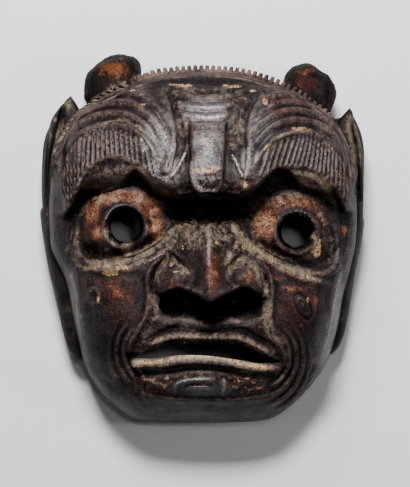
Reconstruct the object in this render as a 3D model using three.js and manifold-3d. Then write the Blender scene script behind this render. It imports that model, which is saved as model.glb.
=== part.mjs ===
import * as THREE from "three";
import { mergeVertices } from "three/addons/utils/BufferGeometryUtils.js";
import Module from "manifold-3d";

// A nuo mask: a horned, scowling demon carved from one block of wood, hollow behind,
// lying face up on its flat rim. Millimetres: x to the right and y up the face as it is
// seen from the front, z out of it.

const wasm = await Module();
wasm.setup();

// The head: its outline is a superellipse, its front a dome that stands on a low wall.
const head = {
  halfWidth: 107, top: 122, bottom: 130, topPower: 2.35, bottomPower: 2.12,
  depth: 90, domePower: 2.4, wallMid: 30, wallSwing: 14, rimInset: 0.035, domeShare: 0.8,
};
// The hollow: its outline as a share of the head's, and the least thickness of wood.
const hollow = { share: 0.87, wood: 10, below: -4 };
// How closely the facets follow the carving, and the squares on a side before they are thinned.
const facets = { facePower: 7, faceError: 1.3, hollowPower: 5, hollowError: 3 };

const eyes = {
  left: { centre: [-53, 12], radii: [33, 27], hole: [-52, 10.5], holeRadius: 10.2 },
  right: { centre: [62.5, 9], radii: [31.5, 27], hole: [62.5, 7], holeRadius: 9.8 },
};
const nose = { middle: 4.6, root: 20, tip: [4.6, -33], rise: 29, wing: [24, -25.5], nostril: [19, -38] };
const hair = {
  left: { centre: [-61, 46], radii: [31, 32], from: -88, to: -38, lean: [-0.1, -0.22] },
  right: { centre: [68, 42], radii: [33, 33], from: 45, to: 95, lean: [0.4, -0.05] },
};
const hairPitch = 2.6;
// The carved lines: a section every so often, lifted and sunk a little past the facets below them.
const [ridgeStep, ridgeLift, ridgeSunk] = [10, 0.5, 4];
const furrow = {
  left: { centre: [-56, 60], radii: [40, 39], spans: [[172, 12], [171, 18], [168, 24]] },
  right: { centre: [64, 57], radii: [40, 41], spans: [[140, 2], [146, 0], [150, -3]] },
};

// Lines of the carving as they are seen from the front.
const hairFoot = {
  left: [[-93, 16], [-89, 24], [-81.8, 36.8], [-73, 48.5], [-62.7, 54.5], [-50.8, 53.7], [-39, 47], [-33, 42]],
  right: [[42, 42], [46, 46], [54.7, 49.4], [62, 50], [69, 49], [76, 47], [83.4, 41.5], [90.6, 35], [97, 22]],
};
const lid = {
  left: [[-86, 20], [-85.5, 8], [-84.5, -3], [-80, -11.5], [-71.7, -13.6], [-61, -12.5], [-49.8, -9.5],
    [-36.6, -3.3], [-24.4, 4.6], [-13.7, 13.3]],
  right: [[20.8, 8.9], [31.4, 1], [44.7, -7], [58, -14], [71.3, -19.6], [81, -21], [88.5, -16], [91, -7],
    [91, 4], [88, 14]],
};
const lidFloor = {
  left: [[-96, 30], [-84, -6], [-80, -11.5], [-71.7, -13.6], [-61, -12.5], [-49.8, -9.5], [-36.6, -3.3],
    [-24.4, 4.6], [-10, 16]],
  right: [[16, 12], [20.8, 8.9], [31.4, 1], [44.7, -7], [58, -14], [71.3, -19.6], [81, -21], [89, -14], [100, 20]],
};
const mouth = {
  top: [[-36, -70.2], [-26, -68.6], [-20, -66.2], [4, -65.5], [22, -66.2], [33, -70], [43.5, -75.2], [49, -78]],
  bottom: [[53, -80.6], [36, -80.8], [28, -79.3], [15, -77.4], [4, -75.9], [-15, -75.4], [-30, -77.6], [-46, -77.4]],
};

const clamp = THREE.MathUtils.clamp;
const radians = THREE.MathUtils.degToRad;
const bell = (offset, width) => Math.exp(-((offset / width) ** 2));

function smooth(from, to, value) {
  const share = clamp((value - from) / (to - from), 0, 1);
  return share * share * (3 - 2 * share);
}

// A rounded mound over an ellipse: one less the squared radius, to a power.
function mound(x, y, [cx, cy], [rx, ry], power = 2) {
  const inside = 1 - ((x - cx) / rx) ** 2 - ((y - cy) / ry) ** 2;
  return inside > 0 ? inside ** power : 0;
}

function curve(points, perSpan = 8) {
  const spline = new THREE.SplineCurve(points.map(([x, y]) => new THREE.Vector2(x, y)));
  return spline.getPoints(perSpan * (points.length - 1));
}

// The height of a curve that runs across the face, at one x.
function lineAt(points) {
  const line = curve(points);
  return (x) => {
    if (x <= line[0].x) return line[0].y;
    const next = line.findIndex((point) => point.x > x);
    if (next < 0) return line.at(-1).y;
    const [a, b] = [line[next - 1], line[next]];
    return a.y + ((b.y - a.y) * (x - a.x)) / (b.x - a.x);
  };
}

function arc([cx, cy], [rx, ry], fromDegrees, toDegrees, count = 9) {
  return Array.from({ length: count }, (_, k) => {
    const angle = radians(fromDegrees + ((toDegrees - fromDegrees) * k) / (count - 1));
    return [cx + rx * Math.cos(angle), cy + ry * Math.sin(angle)];
  });
}

// The outline's radius along a direction from the middle of the face.
function outlineRadius(angle) {
  const across = Math.abs(Math.cos(angle)) / head.halfWidth;
  const upper = Math.sin(angle) > 0;
  const along = Math.abs(Math.sin(angle)) / (upper ? head.top : head.bottom);
  const power = upper ? head.topPower : head.bottomPower;
  return (across ** power + along ** power) ** (-1 / power);
}

const wallHeight = (angle) => head.wallMid + head.wallSwing * Math.sin(angle);

// The brow's lower edge: it dips between the eyes and arches over each of them.
function browEdge(x) {
  return 28 + 6 * smooth(-20, -50, x) + 12 * bell(x + 45, 10) - 16 * smooth(-80, -94, x)
    + 5 * smooth(20, 50, x) + 14 * bell(x - 51, 13) - 12 * smooth(86, 97, x);
}

// The nose's lower edge: low at the tip, with a high arch over each nostril.
const noseEdge = (x) => -36 - 4.5 * bell(x - 4.6, 6.5) + 3.8 * bell(x + 16.5, 8) + 4.5 * bell(x - 27, 8.5);

const footAt = { left: lineAt(hairFoot.left), right: lineAt(hairFoot.right) };
const lidAt = { left: lineAt(lidFloor.left), right: lineAt(lidFloor.right) };
const sides = [["left", -1], ["right", 1]];

function socketForm(x, y) {
  return -17 * mound(x, y, [-53, 14], [42, 33], 1.2) - 17 * mound(x, y, [63, 11], [42, 33], 1.2)
    - 10 * mound(x, y, [4, 24], [34, 17], 1.2)
    - 8 * mound(x, y, [-27, 22], [15, 17], 1.2) - 8 * mound(x, y, [36, 21], [15, 17], 1.2);
}

function eyeForm(x, y) {
  return sides.reduce((sum, [side]) => {
    const eye = eyes[side];
    return sum + 19 * mound(x, y, eye.centre, eye.radii, 0.95) * smooth(-2, 9, y - lidAt[side](x));
  }, 0);
}

function cheekForm(x, y) {
  return 9 * mound(x, y, [-68, -46], [34, 42], 1.4) + 9 * mound(x, y, [71, -47], [34, 42], 1.4)
    + 8 * mound(x, y, [3, -66], [62, 40], 1.1) + 6 * mound(x, y, [3, -106], [58, 24], 1.3)
    - 6 * mound(x, y, [4, -46], [38, 13], 1.2);
}

// The nose: a tent that widens and rises towards its tip, with a round wing on each side.
function noseForm(x, y) {
  const down = clamp((nose.root - y) / 55, 0, 1);
  const across = clamp(Math.abs(x - nose.middle) / (17 + 16 * down), 0, 1);
  const rise = 8 + (nose.rise - 8) * down ** 1.1;
  const bridge = rise * (0.6 * (1 - across) + 0.4 * (1 - across ** 2)) * (1 - smooth(12, 24, y));
  const wings = [-1, 1].reduce((sum, sign) => (
    sum + 16 * mound(x, y, [nose.middle + sign * nose.wing[0], nose.wing[1]], [14.5, 14], 0.8)), 0);
  const tip = 5 * mound(x, y, nose.tip, [12, 15], 1);
  const both = Math.max(bridge, wings) + 0.3 * Math.min(bridge, wings) + tip;
  return both * smooth(-1, 2, y - noseEdge(x));
}

// The brow: a shelf over the eyes that fades up the forehead and slopes back under the hair.
function browForm(x, y) {
  const over = y - browEdge(x);
  const shelf = smooth(-1, 3.5, over);
  const fade = (1 - smooth(22, 80, over)) * (1 - smooth(84, 108, Math.abs(x - 4)));
  const slope = sides.reduce((sum, [side, sign]) => {
    const across = sign * (x - 4);
    const inside = smooth(30, 40, across) * (1 - smooth(80, 96, across));
    return sum + 0.72 * clamp(footAt[side](x) - y, 0, 18) * inside;
  }, 0);
  return shelf * (17 * fade - slope);
}

// The boss between the brows: a flat tongue with a round, raised foot.
function bossForm(x, y) {
  const across = Math.abs(x - 4);
  const flat = smooth(0, 2.6, 12.6 - across - 1.2 * bell(y - 62, 12))
    * smooth(0, 5, y - 31 - 4 * (across / 12) ** 2) * (1 - smooth(70, 80, y));
  return 3.4 * flat + 4 * mound(x, y, [4, 42], [15, 26], 1);
}

// The front of the head above the rim's plane.
function faceHeight(x, y) {
  const angle = Math.atan2(y, x);
  const share = Math.hypot(x, y) / outlineRadius(angle);
  if (share >= 1) return 0;
  const wall = wallHeight(angle);
  const dome = wall + (head.depth - wall) * (1 - share ** head.domePower) ** (1 / head.domePower);
  const forms = [socketForm, eyeForm, cheekForm, noseForm, browForm, bossForm];
  return dome + forms.reduce((sum, form) => sum + form(x, y), 0) * (1 - smooth(0.92, 1, share));
}

// Pulls a point that a line takes past the dome's steep edge back onto the face.
function insideOutline(x, y, limit = 0.965) {
  const share = Math.hypot(x, y) / outlineRadius(Math.atan2(y, x));
  const pull = Math.min(1, limit / share);
  return [x * pull, y * pull];
}

// A carved ridge along a line: low at both ends, its feet sunk in the face.
function ridge(points, width, height, crown = 0) {
  const line = new THREE.SplineCurve(points.map(([x, y]) => new THREE.Vector2(x, y)));
  const steps = clamp(Math.round(line.getLength() / ridgeStep), 4, 9);
  const foot = 1.5 * width;
  const section = crown > 0 ? [[-foot, 0], [foot, 0], [crown, 1], [-crown, 1]] : [[-foot, 0], [foot, 0], [0, 1]];
  return loft(Array.from({ length: steps + 1 }, (_, k) => {
    const share = k / steps;
    const middle = line.getPointAt(share);
    const along = line.getTangentAt(share);
    const rise = height * Math.min(1, 6 * share + 0.1, 6 * (1 - share) + 0.1);
    return section.map(([across, raised]) => {
      const [x, y] = insideOutline(middle.x - across * along.y, middle.y + across * along.x);
      return new THREE.Vector3(x, y, faceHeight(x, y) + (raised ? rise + ridgeLift : -ridgeSunk));
    });
  }));
}

// Furrows over each eyebrow: ellipses that shrink from the outer one to the top of the hair.
function browFurrows() {
  return sides.flatMap(([side]) => furrow[side].spans.map(([from, to], k, all) => {
    const share = k / all.length;
    const mix = (a, b) => a.map((value, axis) => value + (b[axis] - value) * share);
    const centre = mix(furrow[side].centre, hair[side].centre);
    return ridge(arc(centre, mix(furrow[side].radii, hair[side].radii), from, to), 1.5, 1.3);
  }));
}

// The folds that run down between the brows.
function browFolds() {
  return [
    ridge([[-23.2, 105], [-18.5, 85.6], [-18.5, 62.7], [-22.6, 46.6], [-21.9, 40.5]], 1.5, 2.2),
    ridge([[-18.5, 100.5], [-12.5, 78.9], [-11.2, 60], [-18.5, 45.2], [-21.5, 41]], 1.2, 1.4),
    ridge([[36, 100.5], [28.4, 80.3], [28.4, 66.8], [30, 53.5], [26.4, 39.8]], 1.5, 2.2),
    ridge([[24.4, 86], [24.2, 66.8], [19, 57.4], [26, 41.2]], 1.2, 1.4),
  ];
}

// Ridges across the forehead, shorter and flatter towards the boss.
function foreheadRidges() {
  return [101, 94, 86.8, 78.4].map((height, k) => {
    const half = 28 - 3.8 * k;
    const sag = 4.5 - 1.1 * k;
    return ridge([-1, -0.5, 0, 0.5, 1].map((share) => [3 + half * share, height + 3.4 + sag * share ** 2]), 1.7, 1.2);
  });
}

function eyeLines() {
  return [
    ridge(lid.left, 2, 2.6),
    ridge(lid.right, 2, 2.6),
    ridge([[-83.8, -17.8], [-66, -19], [-51.5, -17.8], [-41.6, -14], [-28.4, -7.9], [-21.8, -4]], 1.7, 1.8),
    ridge([[86, -28], [72, -26.5], [58, -21], [46, -14], [36, -8]], 1.7, 1.5),
  ];
}

// The folds from the nose down past the mouth, and the wrinkles round its corners.
function cheekLines() {
  const right = [23, 31].map((radius) => ridge(arc([37, -78], [radius, radius], 56, -68, 6), 1.3, 1.2));
  const left = [23].map((radius) => ridge(arc([-33, -75], [radius, radius], 122, 240, 6), 1.4, 1));
  return [
    ridge([[-23, -7], [-31, -14], [-36.5, -24], [-36, -36], [-37.5, -48], [-43, -58], [-48, -66], [-50.5, -74]], 2, 2.6),
    ridge([[31, -8], [40, -16], [46, -28], [45, -42], [45, -54], [49, -64.7], [54.5, -74.6], [56, -84]], 2, 2.6),
    ...right,
    ...left,
  ];
}

function lips() {
  return [
    ridge([[-37.6, -67], [-26, -62.5], [-17, -60.4], [4, -61], [20, -61], [29, -63.4], [39.5, -69], [47.5, -74.5]], 2, 3),
    ridge([[-49, -80], [-35, -80.5], [-24, -79.4], [-12, -77], [4, -77.4], [18, -79.4], [31, -82], [44.7, -83.2],
      [53, -82]], 2.4, 4, 1.6),
  ];
}

// Shares of the outline at equal steps along the dome's curve, so that its facets stay even.
function domeSteps(count = 200) {
  const profile = Array.from({ length: count + 1 }, (_, k) => {
    const turn = (k / count) * (Math.PI / 2);
    const power = 2 / head.domePower;
    return [Math.sin(turn) ** power, Math.cos(turn) ** power];
  });
  const rise = head.depth - head.wallMid;
  const runs = [0];
  profile.slice(1).forEach(([share, up], k) => {
    runs.push(runs[k] + Math.hypot((share - profile[k][0]) * head.halfWidth, (up - profile[k][1]) * rise));
  });
  return (part) => {
    const target = clamp(part, 0, 1) * runs.at(-1);
    const next = Math.max(1, runs.findIndex((run) => run >= target));
    const between = (target - runs[next - 1]) / (runs[next] - runs[next - 1]);
    return profile[next - 1][0] + (profile[next][0] - profile[next - 1][0]) * between;
  };
}
const domeShareAt = domeSteps();

// A square grid folded onto the round of the head: each point's direction and distance out, 0 to 1.
function roundGrid(power) {
  const side = 2 ** power + 1;
  const cells = Array.from({ length: side * side }, (_, index) => {
    const s = ((index % side) / (side - 1)) * 2 - 1;
    const t = (Math.floor(index / side) / (side - 1)) * 2 - 1;
    const [u, v] = [s * Math.sqrt(1 - (t * t) / 2), t * Math.sqrt(1 - (s * s) / 2)];
    return { out: Math.min(1, Math.hypot(u, v)), angle: Math.atan2(v, u) };
  });
  return { side, cells };
}

// The face: a point on the dome takes its height from the forms, and beyond it goes down the wall.
function facePoints(grid) {
  return grid.cells.map(({ out, angle }) => {
    const wall = clamp((out - head.domeShare) / (1 - head.domeShare), 0, 1);
    const share = wall > 0 ? 1 - head.rimInset * wall : domeShareAt(out / head.domeShare);
    const [x, y] = [Math.cos(angle), Math.sin(angle)].map((value) => value * share * outlineRadius(angle));
    const z = wall > 0 || share > 0.9999 ? wallHeight(angle) * (1 - wall) : faceHeight(x, y);
    return new THREE.Vector3(x, y, z);
  });
}

// The hollow: everywhere a ball of the wood's thickness fits between it and the face.
function hollowPoints(grid) {
  const rings = [[0, 1], [0.5, 8], [0.8, 12], [1, 12]];
  const ball = rings.flatMap(([reach, count]) => Array.from({ length: count }, (_, k) => {
    const angle = (k / count) * 2 * Math.PI;
    return { x: reach * hollow.wood * Math.cos(angle), y: reach * hollow.wood * Math.sin(angle),
      drop: hollow.wood * Math.sqrt(1 - reach * reach) };
  }));
  return grid.cells.map(({ out, angle }) => {
    const share = hollow.share * Math.min(1, out / 0.9);
    const [x, y] = [Math.cos(angle), Math.sin(angle)].map((value) => value * share * outlineRadius(angle));
    const roof = Math.min(...ball.map((touch) => faceHeight(x + touch.x, y + touch.y) - touch.drop));
    const down = clamp((out - 0.9) / 0.1, 0, 1);
    return new THREE.Vector3(x, y, roof + (hollow.below - roof) * down);
  });
}

// Covers a square grid of points with right triangles, halving each while it misses the
// surface by more than the error, and closes the sheet with a flat fan below it.
function thinnedSolid(points, side, power, allowed) {
  const halves = ([a, b, c]) => [[c, a, (a + b) / 2], [b, c, (a + b) / 2]];
  const [first, last] = [side - 1, side * (side - 1)];
  const start = [[first, last, side * side - 1], [last, first, 0]];
  const levels = [start];
  while (levels.length < 2 * power) levels.push(levels.at(-1).flatMap(halves));
  const normal = (index) => {
    const [column, row] = [index % side, Math.floor(index / side)];
    const at = (c, r) => points[clamp(r, 0, side - 1) * side + clamp(c, 0, side - 1)];
    const across = at(column + 1, row).clone().sub(at(column - 1, row));
    return across.cross(at(column, row + 1).clone().sub(at(column, row - 1))).normalize();
  };
  const miss = new Float64Array(side * side);
  levels.slice().reverse().forEach((level, fromLast) => level.forEach(([a, b, c]) => {
    const middle = (a + b) / 2;
    const gap = points[a].clone().add(points[b]).multiplyScalar(0.5).sub(points[middle]);
    const below = fromLast > 0 ? [miss[(a + c) / 2], miss[(b + c) / 2]] : [];
    miss[middle] = Math.max(miss[middle], Math.abs(gap.dot(normal(middle))), ...below);
  }));
  const triangles = [];
  const take = (triangle, level) => {
    const split = level < levels.length && miss[(triangle[0] + triangle[1]) / 2] > allowed;
    if (split) halves(triangle).forEach((half) => take(half, level + 1));
    else triangles.push(triangle);
  };
  start.forEach((triangle) => take(triangle, 0));
  const edges = new Set(triangles.flatMap(([a, b, c]) => [`${a} ${b}`, `${b} ${c}`, `${c} ${a}`]));
  const open = [...edges].map((edge) => edge.split(" ").map(Number)).filter(([a, b]) => !edges.has(`${b} ${a}`));
  const hub = points.length;
  const corners = [...points, new THREE.Vector3(0, 0, points[open[0][0]].z)];
  return solidOf(corners, [...triangles, ...open.map(([a, b]) => [b, a, hub])]);
}

// A closed solid from corners and triangles, turned so that its faces point outwards.
function solidOf(corners, triangles) {
  const volume = triangles.reduce((sum, [a, b, c]) => (
    sum + corners[a].dot(corners[b].clone().cross(corners[c]))), 0);
  const turned = volume > 0 ? triangles : triangles.map(([a, b, c]) => [a, c, b]);
  const geometry = new THREE.BufferGeometry();
  geometry.setAttribute("position", new THREE.Float32BufferAttribute(corners.flatMap((p) => p.toArray()), 3));
  geometry.setIndex(turned.flat());
  return solidFrom(geometry);
}

function solidFrom(geometry) {
  const bare = geometry.clone();
  bare.deleteAttribute("normal");
  bare.deleteAttribute("uv");
  const merged = mergeVertices(bare, 1e-4);
  const mesh = new wasm.Mesh({
    numProp: 3,
    vertProperties: new Float32Array(merged.attributes.position.array),
    triVerts: new Uint32Array(merged.index.array),
  });
  return new wasm.Manifold(mesh);
}

// A solid skinned over rings of points, each end closed flat.
function loft(rings) {
  const count = rings[0].length;
  const corners = rings.flat();
  const walls = rings.slice(1).flatMap((_, ring) => rings[0].flatMap((__, k) => {
    const [a, b] = [ring * count + k, ring * count + ((k + 1) % count)];
    return [[a, b, b + count], [a, b + count, a + count]];
  }));
  const cap = (first) => Array.from({ length: count - 2 }, (_, k) => [first, first + k + 2, first + k + 1]);
  const lid = cap((rings.length - 1) * count).map(([a, b, c]) => [a, c, b]);
  return solidOf(corners, [...walls, ...cap(0), ...lid]);
}

// The hairs of an eyebrow: one strip over its brow, high and low by turns from end to end.
function hairStrips() {
  return sides.map(([side]) => {
    const { centre, radii, from, to, lean } = hair[side];
    const count = 2 * Math.round((to - from) / hairPitch);
    return loft(Array.from({ length: count + 1 }, (_, k) => {
      const x = from + ((to - from) * k) / count;
      const tilt = lean[0] + ((lean[1] - lean[0]) * k) / count;
      const topY = centre[1] + radii[1] * Math.sqrt(Math.max(0, 1 - ((x - centre[0]) / radii[0]) ** 2)) - 0.5;
      const footY = footAt[side](x) + 1;
      const middleY = (topY + footY) / 2;
      const raised = k % 2 ? 2 : 0.5;
      return [[topY, raised], [middleY, raised], [footY, raised], [footY, -2], [topY, -2]].map(([y, over]) => {
        const leaned = x + tilt * (y - middleY);
        return new THREE.Vector3(leaned, y, faceHeight(leaned, y) + over);
      });
    }));
  });
}

// The toothed band: a strip along the top of the outline, high and low by turns.
function band() {
  const [from, to, pitch] = [150, 28, 4.6];
  const radius = (head.halfWidth + head.top) / 2;
  const count = 2 * Math.round((radians(from - to) * radius) / pitch);
  return loft(Array.from({ length: count + 1 }, (_, k) => {
    const angle = radians(from + ((to - from) * k) / count);
    const out = outlineRadius(angle);
    const rise = k % 2 ? 3.4 : 1.2;
    const wall = wallHeight(angle);
    return [[out - 3, wall - 6], [out + rise, wall + 2], [0.955 * out, wall + 9]]
      .map(([reach, z]) => new THREE.Vector3(Math.cos(angle) * reach, Math.sin(angle) * reach, z));
  }));
}

// An ear seen edge on: outer line, inner line, and how deep it is, from foot to tip.
function ear(outer, inner, depths, level) {
  const [outerAt, innerAt] = [lineAt(outer), lineAt(inner)];
  const depthAt = lineAt(depths);
  const steps = 5;
  const sections = 8;
  const [low, high] = [outer[0][0], outer.at(-1)[0]];
  return loft(Array.from({ length: steps + 1 }, (_, k) => {
    const y = low + ((high - low) * k) / steps;
    const [x0, x1, depth] = [innerAt(y), outerAt(y), depthAt(y)];
    return Array.from({ length: sections }, (__, turn) => {
      const angle = (turn / sections) * 2 * Math.PI;
      const dent = 0.3 * bell(angle - Math.PI / 2, 0.5);
      return new THREE.Vector3((x0 + x1) / 2 + ((x1 - x0) / 2) * Math.cos(angle), y,
        level + depth * (Math.sin(angle) - dent));
    });
  }));
}

function ears() {
  return [
    ear([[18, -112], [37, -112], [58, -112], [78.5, -108], [92, -101], [101.5, -88]],
      [[18, -101], [37, -98], [58, -93], [78.5, -82], [92, -78.5], [101.5, -85]],
      [[18, 12], [50, 17], [80, 14], [95, 8], [101.5, 2]], 27),
    ear([[-88, -86], [-71, -94], [-53.5, -99.4], [-33, -105], [-12, -110], [9, -114.7], [24, -115.4], [28.5, -112]],
      [[-88, -81], [-71, -86], [-53.5, -92], [-33, -98], [-12, -101], [9, -101], [24, -101], [28.5, -101]],
      [[-88, 5], [-60, 10], [0, 17], [24, 16], [28.5, 12]], 22),
    ear([[15, 112], [37, 111], [64.6, 112], [82, 109], [94.5, 103]],
      [[15, 101], [37, 98], [64.6, 90], [82, 83], [94.5, 99]],
      [[15, 12], [50, 17], [75, 14], [90, 8], [94.5, 2]], 27),
    ear([[-76, 88], [-64, 99.4], [-39.6, 103.6], [-19, 108.4], [2, 112.6], [20, 113.3], [23.6, 111]],
      [[-76, 84], [-64, 88], [-39.6, 96], [-19, 100], [2, 101], [20, 101], [23.6, 101]],
      [[-76, 5], [-50, 10], [0, 17], [18, 16], [23.6, 12]], 22),
  ];
}

// A worn horn stub: rings along a path that starts in the side of the head and turns up.
function horn(path, level) {
  const sections = 11;
  return loft(path.map(({ at: [x, y], facing, radius }) => Array.from({ length: sections }, (_, k) => {
    const angle = (k / sections) * 2 * Math.PI;
    const along = radius * Math.cos(angle);
    return new THREE.Vector3(x - along * Math.sin(radians(facing)), y + along * Math.cos(radians(facing)),
      level + 0.9 * radius * Math.sin(angle));
  })));
}

function horns() {
  return [
    horn([
      { at: [-54.5, 90.7], facing: 121, radius: 19 }, { at: [-60.5, 105], facing: 112, radius: 21 },
      { at: [-61.5, 116], facing: 103, radius: 19 }, { at: [-59.5, 124.5], facing: 97, radius: 15.5 },
      { at: [-57, 129], facing: 92, radius: 10 }, { at: [-56, 131], facing: 90, radius: 4 },
    ], 27),
    horn([
      { at: [58.7, 86.4], facing: 56, radius: 17 }, { at: [67, 101], facing: 62, radius: 19 },
      { at: [70.5, 111], facing: 72, radius: 17 }, { at: [71, 119], facing: 80, radius: 13 },
      { at: [70.5, 123], facing: 86, radius: 8 }, { at: [70.5, 124.5], facing: 90, radius: 3 },
    ], 26),
  ];
}

// The eyes are bored straight through, a little wider in front.
function eyeHoles() {
  return sides.map(([side]) => {
    const { hole: [x, y], holeRadius } = eyes[side];
    const bore = new THREE.CylinderGeometry(holeRadius + 1.6, holeRadius - 0.6, 110, 16);
    bore.rotateX(Math.PI / 2).translate(x, y, 65);
    return solidFrom(bore);
  });
}

function mouthSlot() {
  const outline = new THREE.Shape([...mouth.top, ...mouth.bottom].map(([x, y]) => new THREE.Vector2(x, y)));
  const slot = new THREE.ExtrudeGeometry(outline, { depth: 130, bevelEnabled: false });
  return solidFrom(slot);
}

function nostrils() {
  return [-1, 1].map((sign) => {
    const pocket = new THREE.SphereGeometry(1, 9, 6);
    pocket.scale(10, 6.5, 12).translate(nose.middle + sign * nose.nostril[0], nose.nostril[1], 96);
    return solidFrom(pocket);
  });
}

// The largest body alone, which also fills any crack sealed between two crossing ridges.
function whole(solid) {
  return solid.decompose().reduce((largest, body) => (body.volume() > largest.volume() ? body : largest));
}

function maskSolid() {
  const faceGrid = roundGrid(facets.facePower);
  const hollowGrid = roundGrid(facets.hollowPower);
  const face = thinnedSolid(facePoints(faceGrid), faceGrid.side, facets.facePower, facets.faceError);
  const inside = thinnedSolid(hollowPoints(hollowGrid), hollowGrid.side, facets.hollowPower, facets.hollowError);
  const lines = [...browFurrows(), ...browFolds(), ...foreheadRidges(), ...eyeLines(), ...cheekLines(), ...lips()];
  const added = [...lines, ...hairStrips(), band(), ...ears(), ...horns()].reduce((sum, piece) => sum.add(piece), face);
  return [inside, ...eyeHoles(), mouthSlot(), ...nostrils()].reduce((rest, cut) => rest.subtract(cut), whole(added));
}

function geometryOf(solid) {
  const { numProp, vertProperties, triVerts } = solid.getMesh();
  const positions = Array.from({ length: (vertProperties.length / numProp) * 3 }, (_, k) => (
    vertProperties[Math.floor(k / 3) * numProp + (k % 3)]));
  const geometry = new THREE.BufferGeometry();
  geometry.setAttribute("position", new THREE.Float32BufferAttribute(positions, 3));
  geometry.setIndex([...triVerts]);
  geometry.computeVertexNormals();
  return geometry;
}

const lacquer = new THREE.MeshStandardMaterial({ color: 0x33231e, roughness: 0.42, metalness: 0 });

const group = new THREE.Group();
const mask = new THREE.Mesh(geometryOf(maskSolid()), lacquer);
mask.name = "mask";
group.add(mask);

export default group;
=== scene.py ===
import bpy
import numpy as np
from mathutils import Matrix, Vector


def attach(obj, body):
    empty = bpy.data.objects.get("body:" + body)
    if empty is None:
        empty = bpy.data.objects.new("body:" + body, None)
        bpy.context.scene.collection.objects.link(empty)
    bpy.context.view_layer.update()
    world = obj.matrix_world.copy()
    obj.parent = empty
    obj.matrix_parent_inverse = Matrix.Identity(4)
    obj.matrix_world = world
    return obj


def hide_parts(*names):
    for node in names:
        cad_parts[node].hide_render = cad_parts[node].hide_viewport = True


# nuo mask: a horned demon carved in one from a block of wood, lacquered dark, rubbed and dusty
# shapes are worked out in millimetres, x right, y up the face and z out of it, and put in metres
# the points of a curve are written one after the other: x, y, x, y

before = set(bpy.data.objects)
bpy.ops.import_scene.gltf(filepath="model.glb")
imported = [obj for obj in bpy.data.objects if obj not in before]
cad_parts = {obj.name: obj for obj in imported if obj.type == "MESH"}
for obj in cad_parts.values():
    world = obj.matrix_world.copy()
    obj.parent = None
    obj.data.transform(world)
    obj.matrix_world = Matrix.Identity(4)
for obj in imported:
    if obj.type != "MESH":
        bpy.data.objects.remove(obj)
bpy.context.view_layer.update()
mm = 0.001


# small helpers on whole arrays

def smooth(start, end, value):  # cubic step from 0 at start to 1 at end
    share = np.clip((value - start) / (end - start), 0, 1)
    return share * share * (3 - 2 * share)


def bell(offset, width):  # exp of minus the square of offset over width
    return np.exp(-(offset / width) ** 2)


def mound(x, y, centre, radii, power):  # one less the squared elliptical radius, to a power
    squared = ((x - centre[0]) / radii[0]) ** 2 + ((y - centre[1]) / radii[1]) ** 2
    return np.clip(1 - squared, 0, 1) ** power


def mounds(x, y, rows):  # a sum of mounds, each row with its height, centre, radii and power
    return sum(height * mound(x, y, (cx, cy), (rx, ry), power) for height, cx, cy, rx, ry, power in rows)


def splineThrough(points, perSpan=8):  # Catmull-Rom curve: a cubic over each span from its four points
    p = np.reshape(points, (-1, 2)).astype(float)
    p = np.vstack([2 * p[0] - p[1], p, 2 * p[-1] - p[-2]])
    a, b, c, d = (p[k:len(p) - 3 + k, None] for k in range(4))
    f = np.linspace(0, 1, perSpan, endpoint=False)[None, :, None]
    spans = 0.5 * (2 * b + (c - a) * f + (2 * a - 5 * b + 4 * c - d) * f ** 2
                   + (3 * b - a - 3 * c + d) * f ** 3)
    return np.vstack([spans.reshape(-1, 2), p[-2]])


def lineAt(x, points):  # height of a curve that runs across the face
    line = splineThrough(points)
    order = np.argsort(line[:, 0])
    return np.interp(x, line[order, 0], line[order, 1])


def stroke(x, y, points, width, height, fadeIn=0.12, fadeOut=0.12, sharpness=2.0):
    # height times exp of minus (distance to the curve over width) to a power, fading at both ends
    # width may be a pair, for the left and the right of the way the curve runs
    line = splineThrough(points)
    leftWidth, rightWidth = np.broadcast_to(width, 2)
    reach = 2.6 * max(leftWidth, rightWidth)
    (left, bottom), (right, top) = line.min(0) - reach, line.max(0) + reach
    near = (x > left) & (x < right) & (y > bottom) & (y < top)
    px, py = x[near], y[near]
    steps = np.hypot(*np.diff(line, axis=0).T)
    runs = np.concatenate([[0], np.cumsum(steps)])
    best, share, side = np.full(px.shape, np.inf), np.zeros(px.shape), np.zeros(px.shape)
    for a, b, run, step in zip(line, line[1:], runs, steps):
        along = np.clip(((px - a[0]) * (b[0] - a[0]) + (py - a[1]) * (b[1] - a[1])) / step ** 2, 0, 1)
        away = np.hypot(px - a[0] - along * (b[0] - a[0]), py - a[1] - along * (b[1] - a[1]))
        nearer = away < best
        cross = (b[0] - a[0]) * (py - a[1]) - (b[1] - a[1]) * (px - a[0])
        best, side = np.where(nearer, away, best), np.where(nearer, cross, side)
        share = np.where(nearer, (run + along * step) / runs[-1], share)
    ends = np.clip(share / fadeIn, 0, 1) * np.clip((1 - share) / fadeOut, 0, 1)
    width = np.where(side > 0, leftWidth, rightWidth)
    out = np.zeros(x.shape)
    out[near] = height * np.exp(-(best / width) ** sharpness) * np.sqrt(ends)
    return out


def strokes(x, y, rows, *fades):  # a stroke for each row with its width, height and points
    return [stroke(x, y, points, width, height, *fades) for width, height, *points in rows]


def arc(centre, radii, fromDegrees, toDegrees, count=9):  # points along an ellipse
    turn = np.radians(np.linspace(fromDegrees, toDegrees, count))
    return np.stack([centre[0] + radii[0] * np.cos(turn), centre[1] + radii[1] * np.sin(turn)], 1)


def fold(x, y, centre, radii, turns, ridge, groove, inward, *fades):  # a ridge on an ellipse, a groove inside
    return (stroke(x, y, arc(centre, radii, *turns), *ridge, *fades)
            + stroke(x, y, arc(centre, np.subtract(radii, inward), *turns), *groove, *fades))


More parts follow.
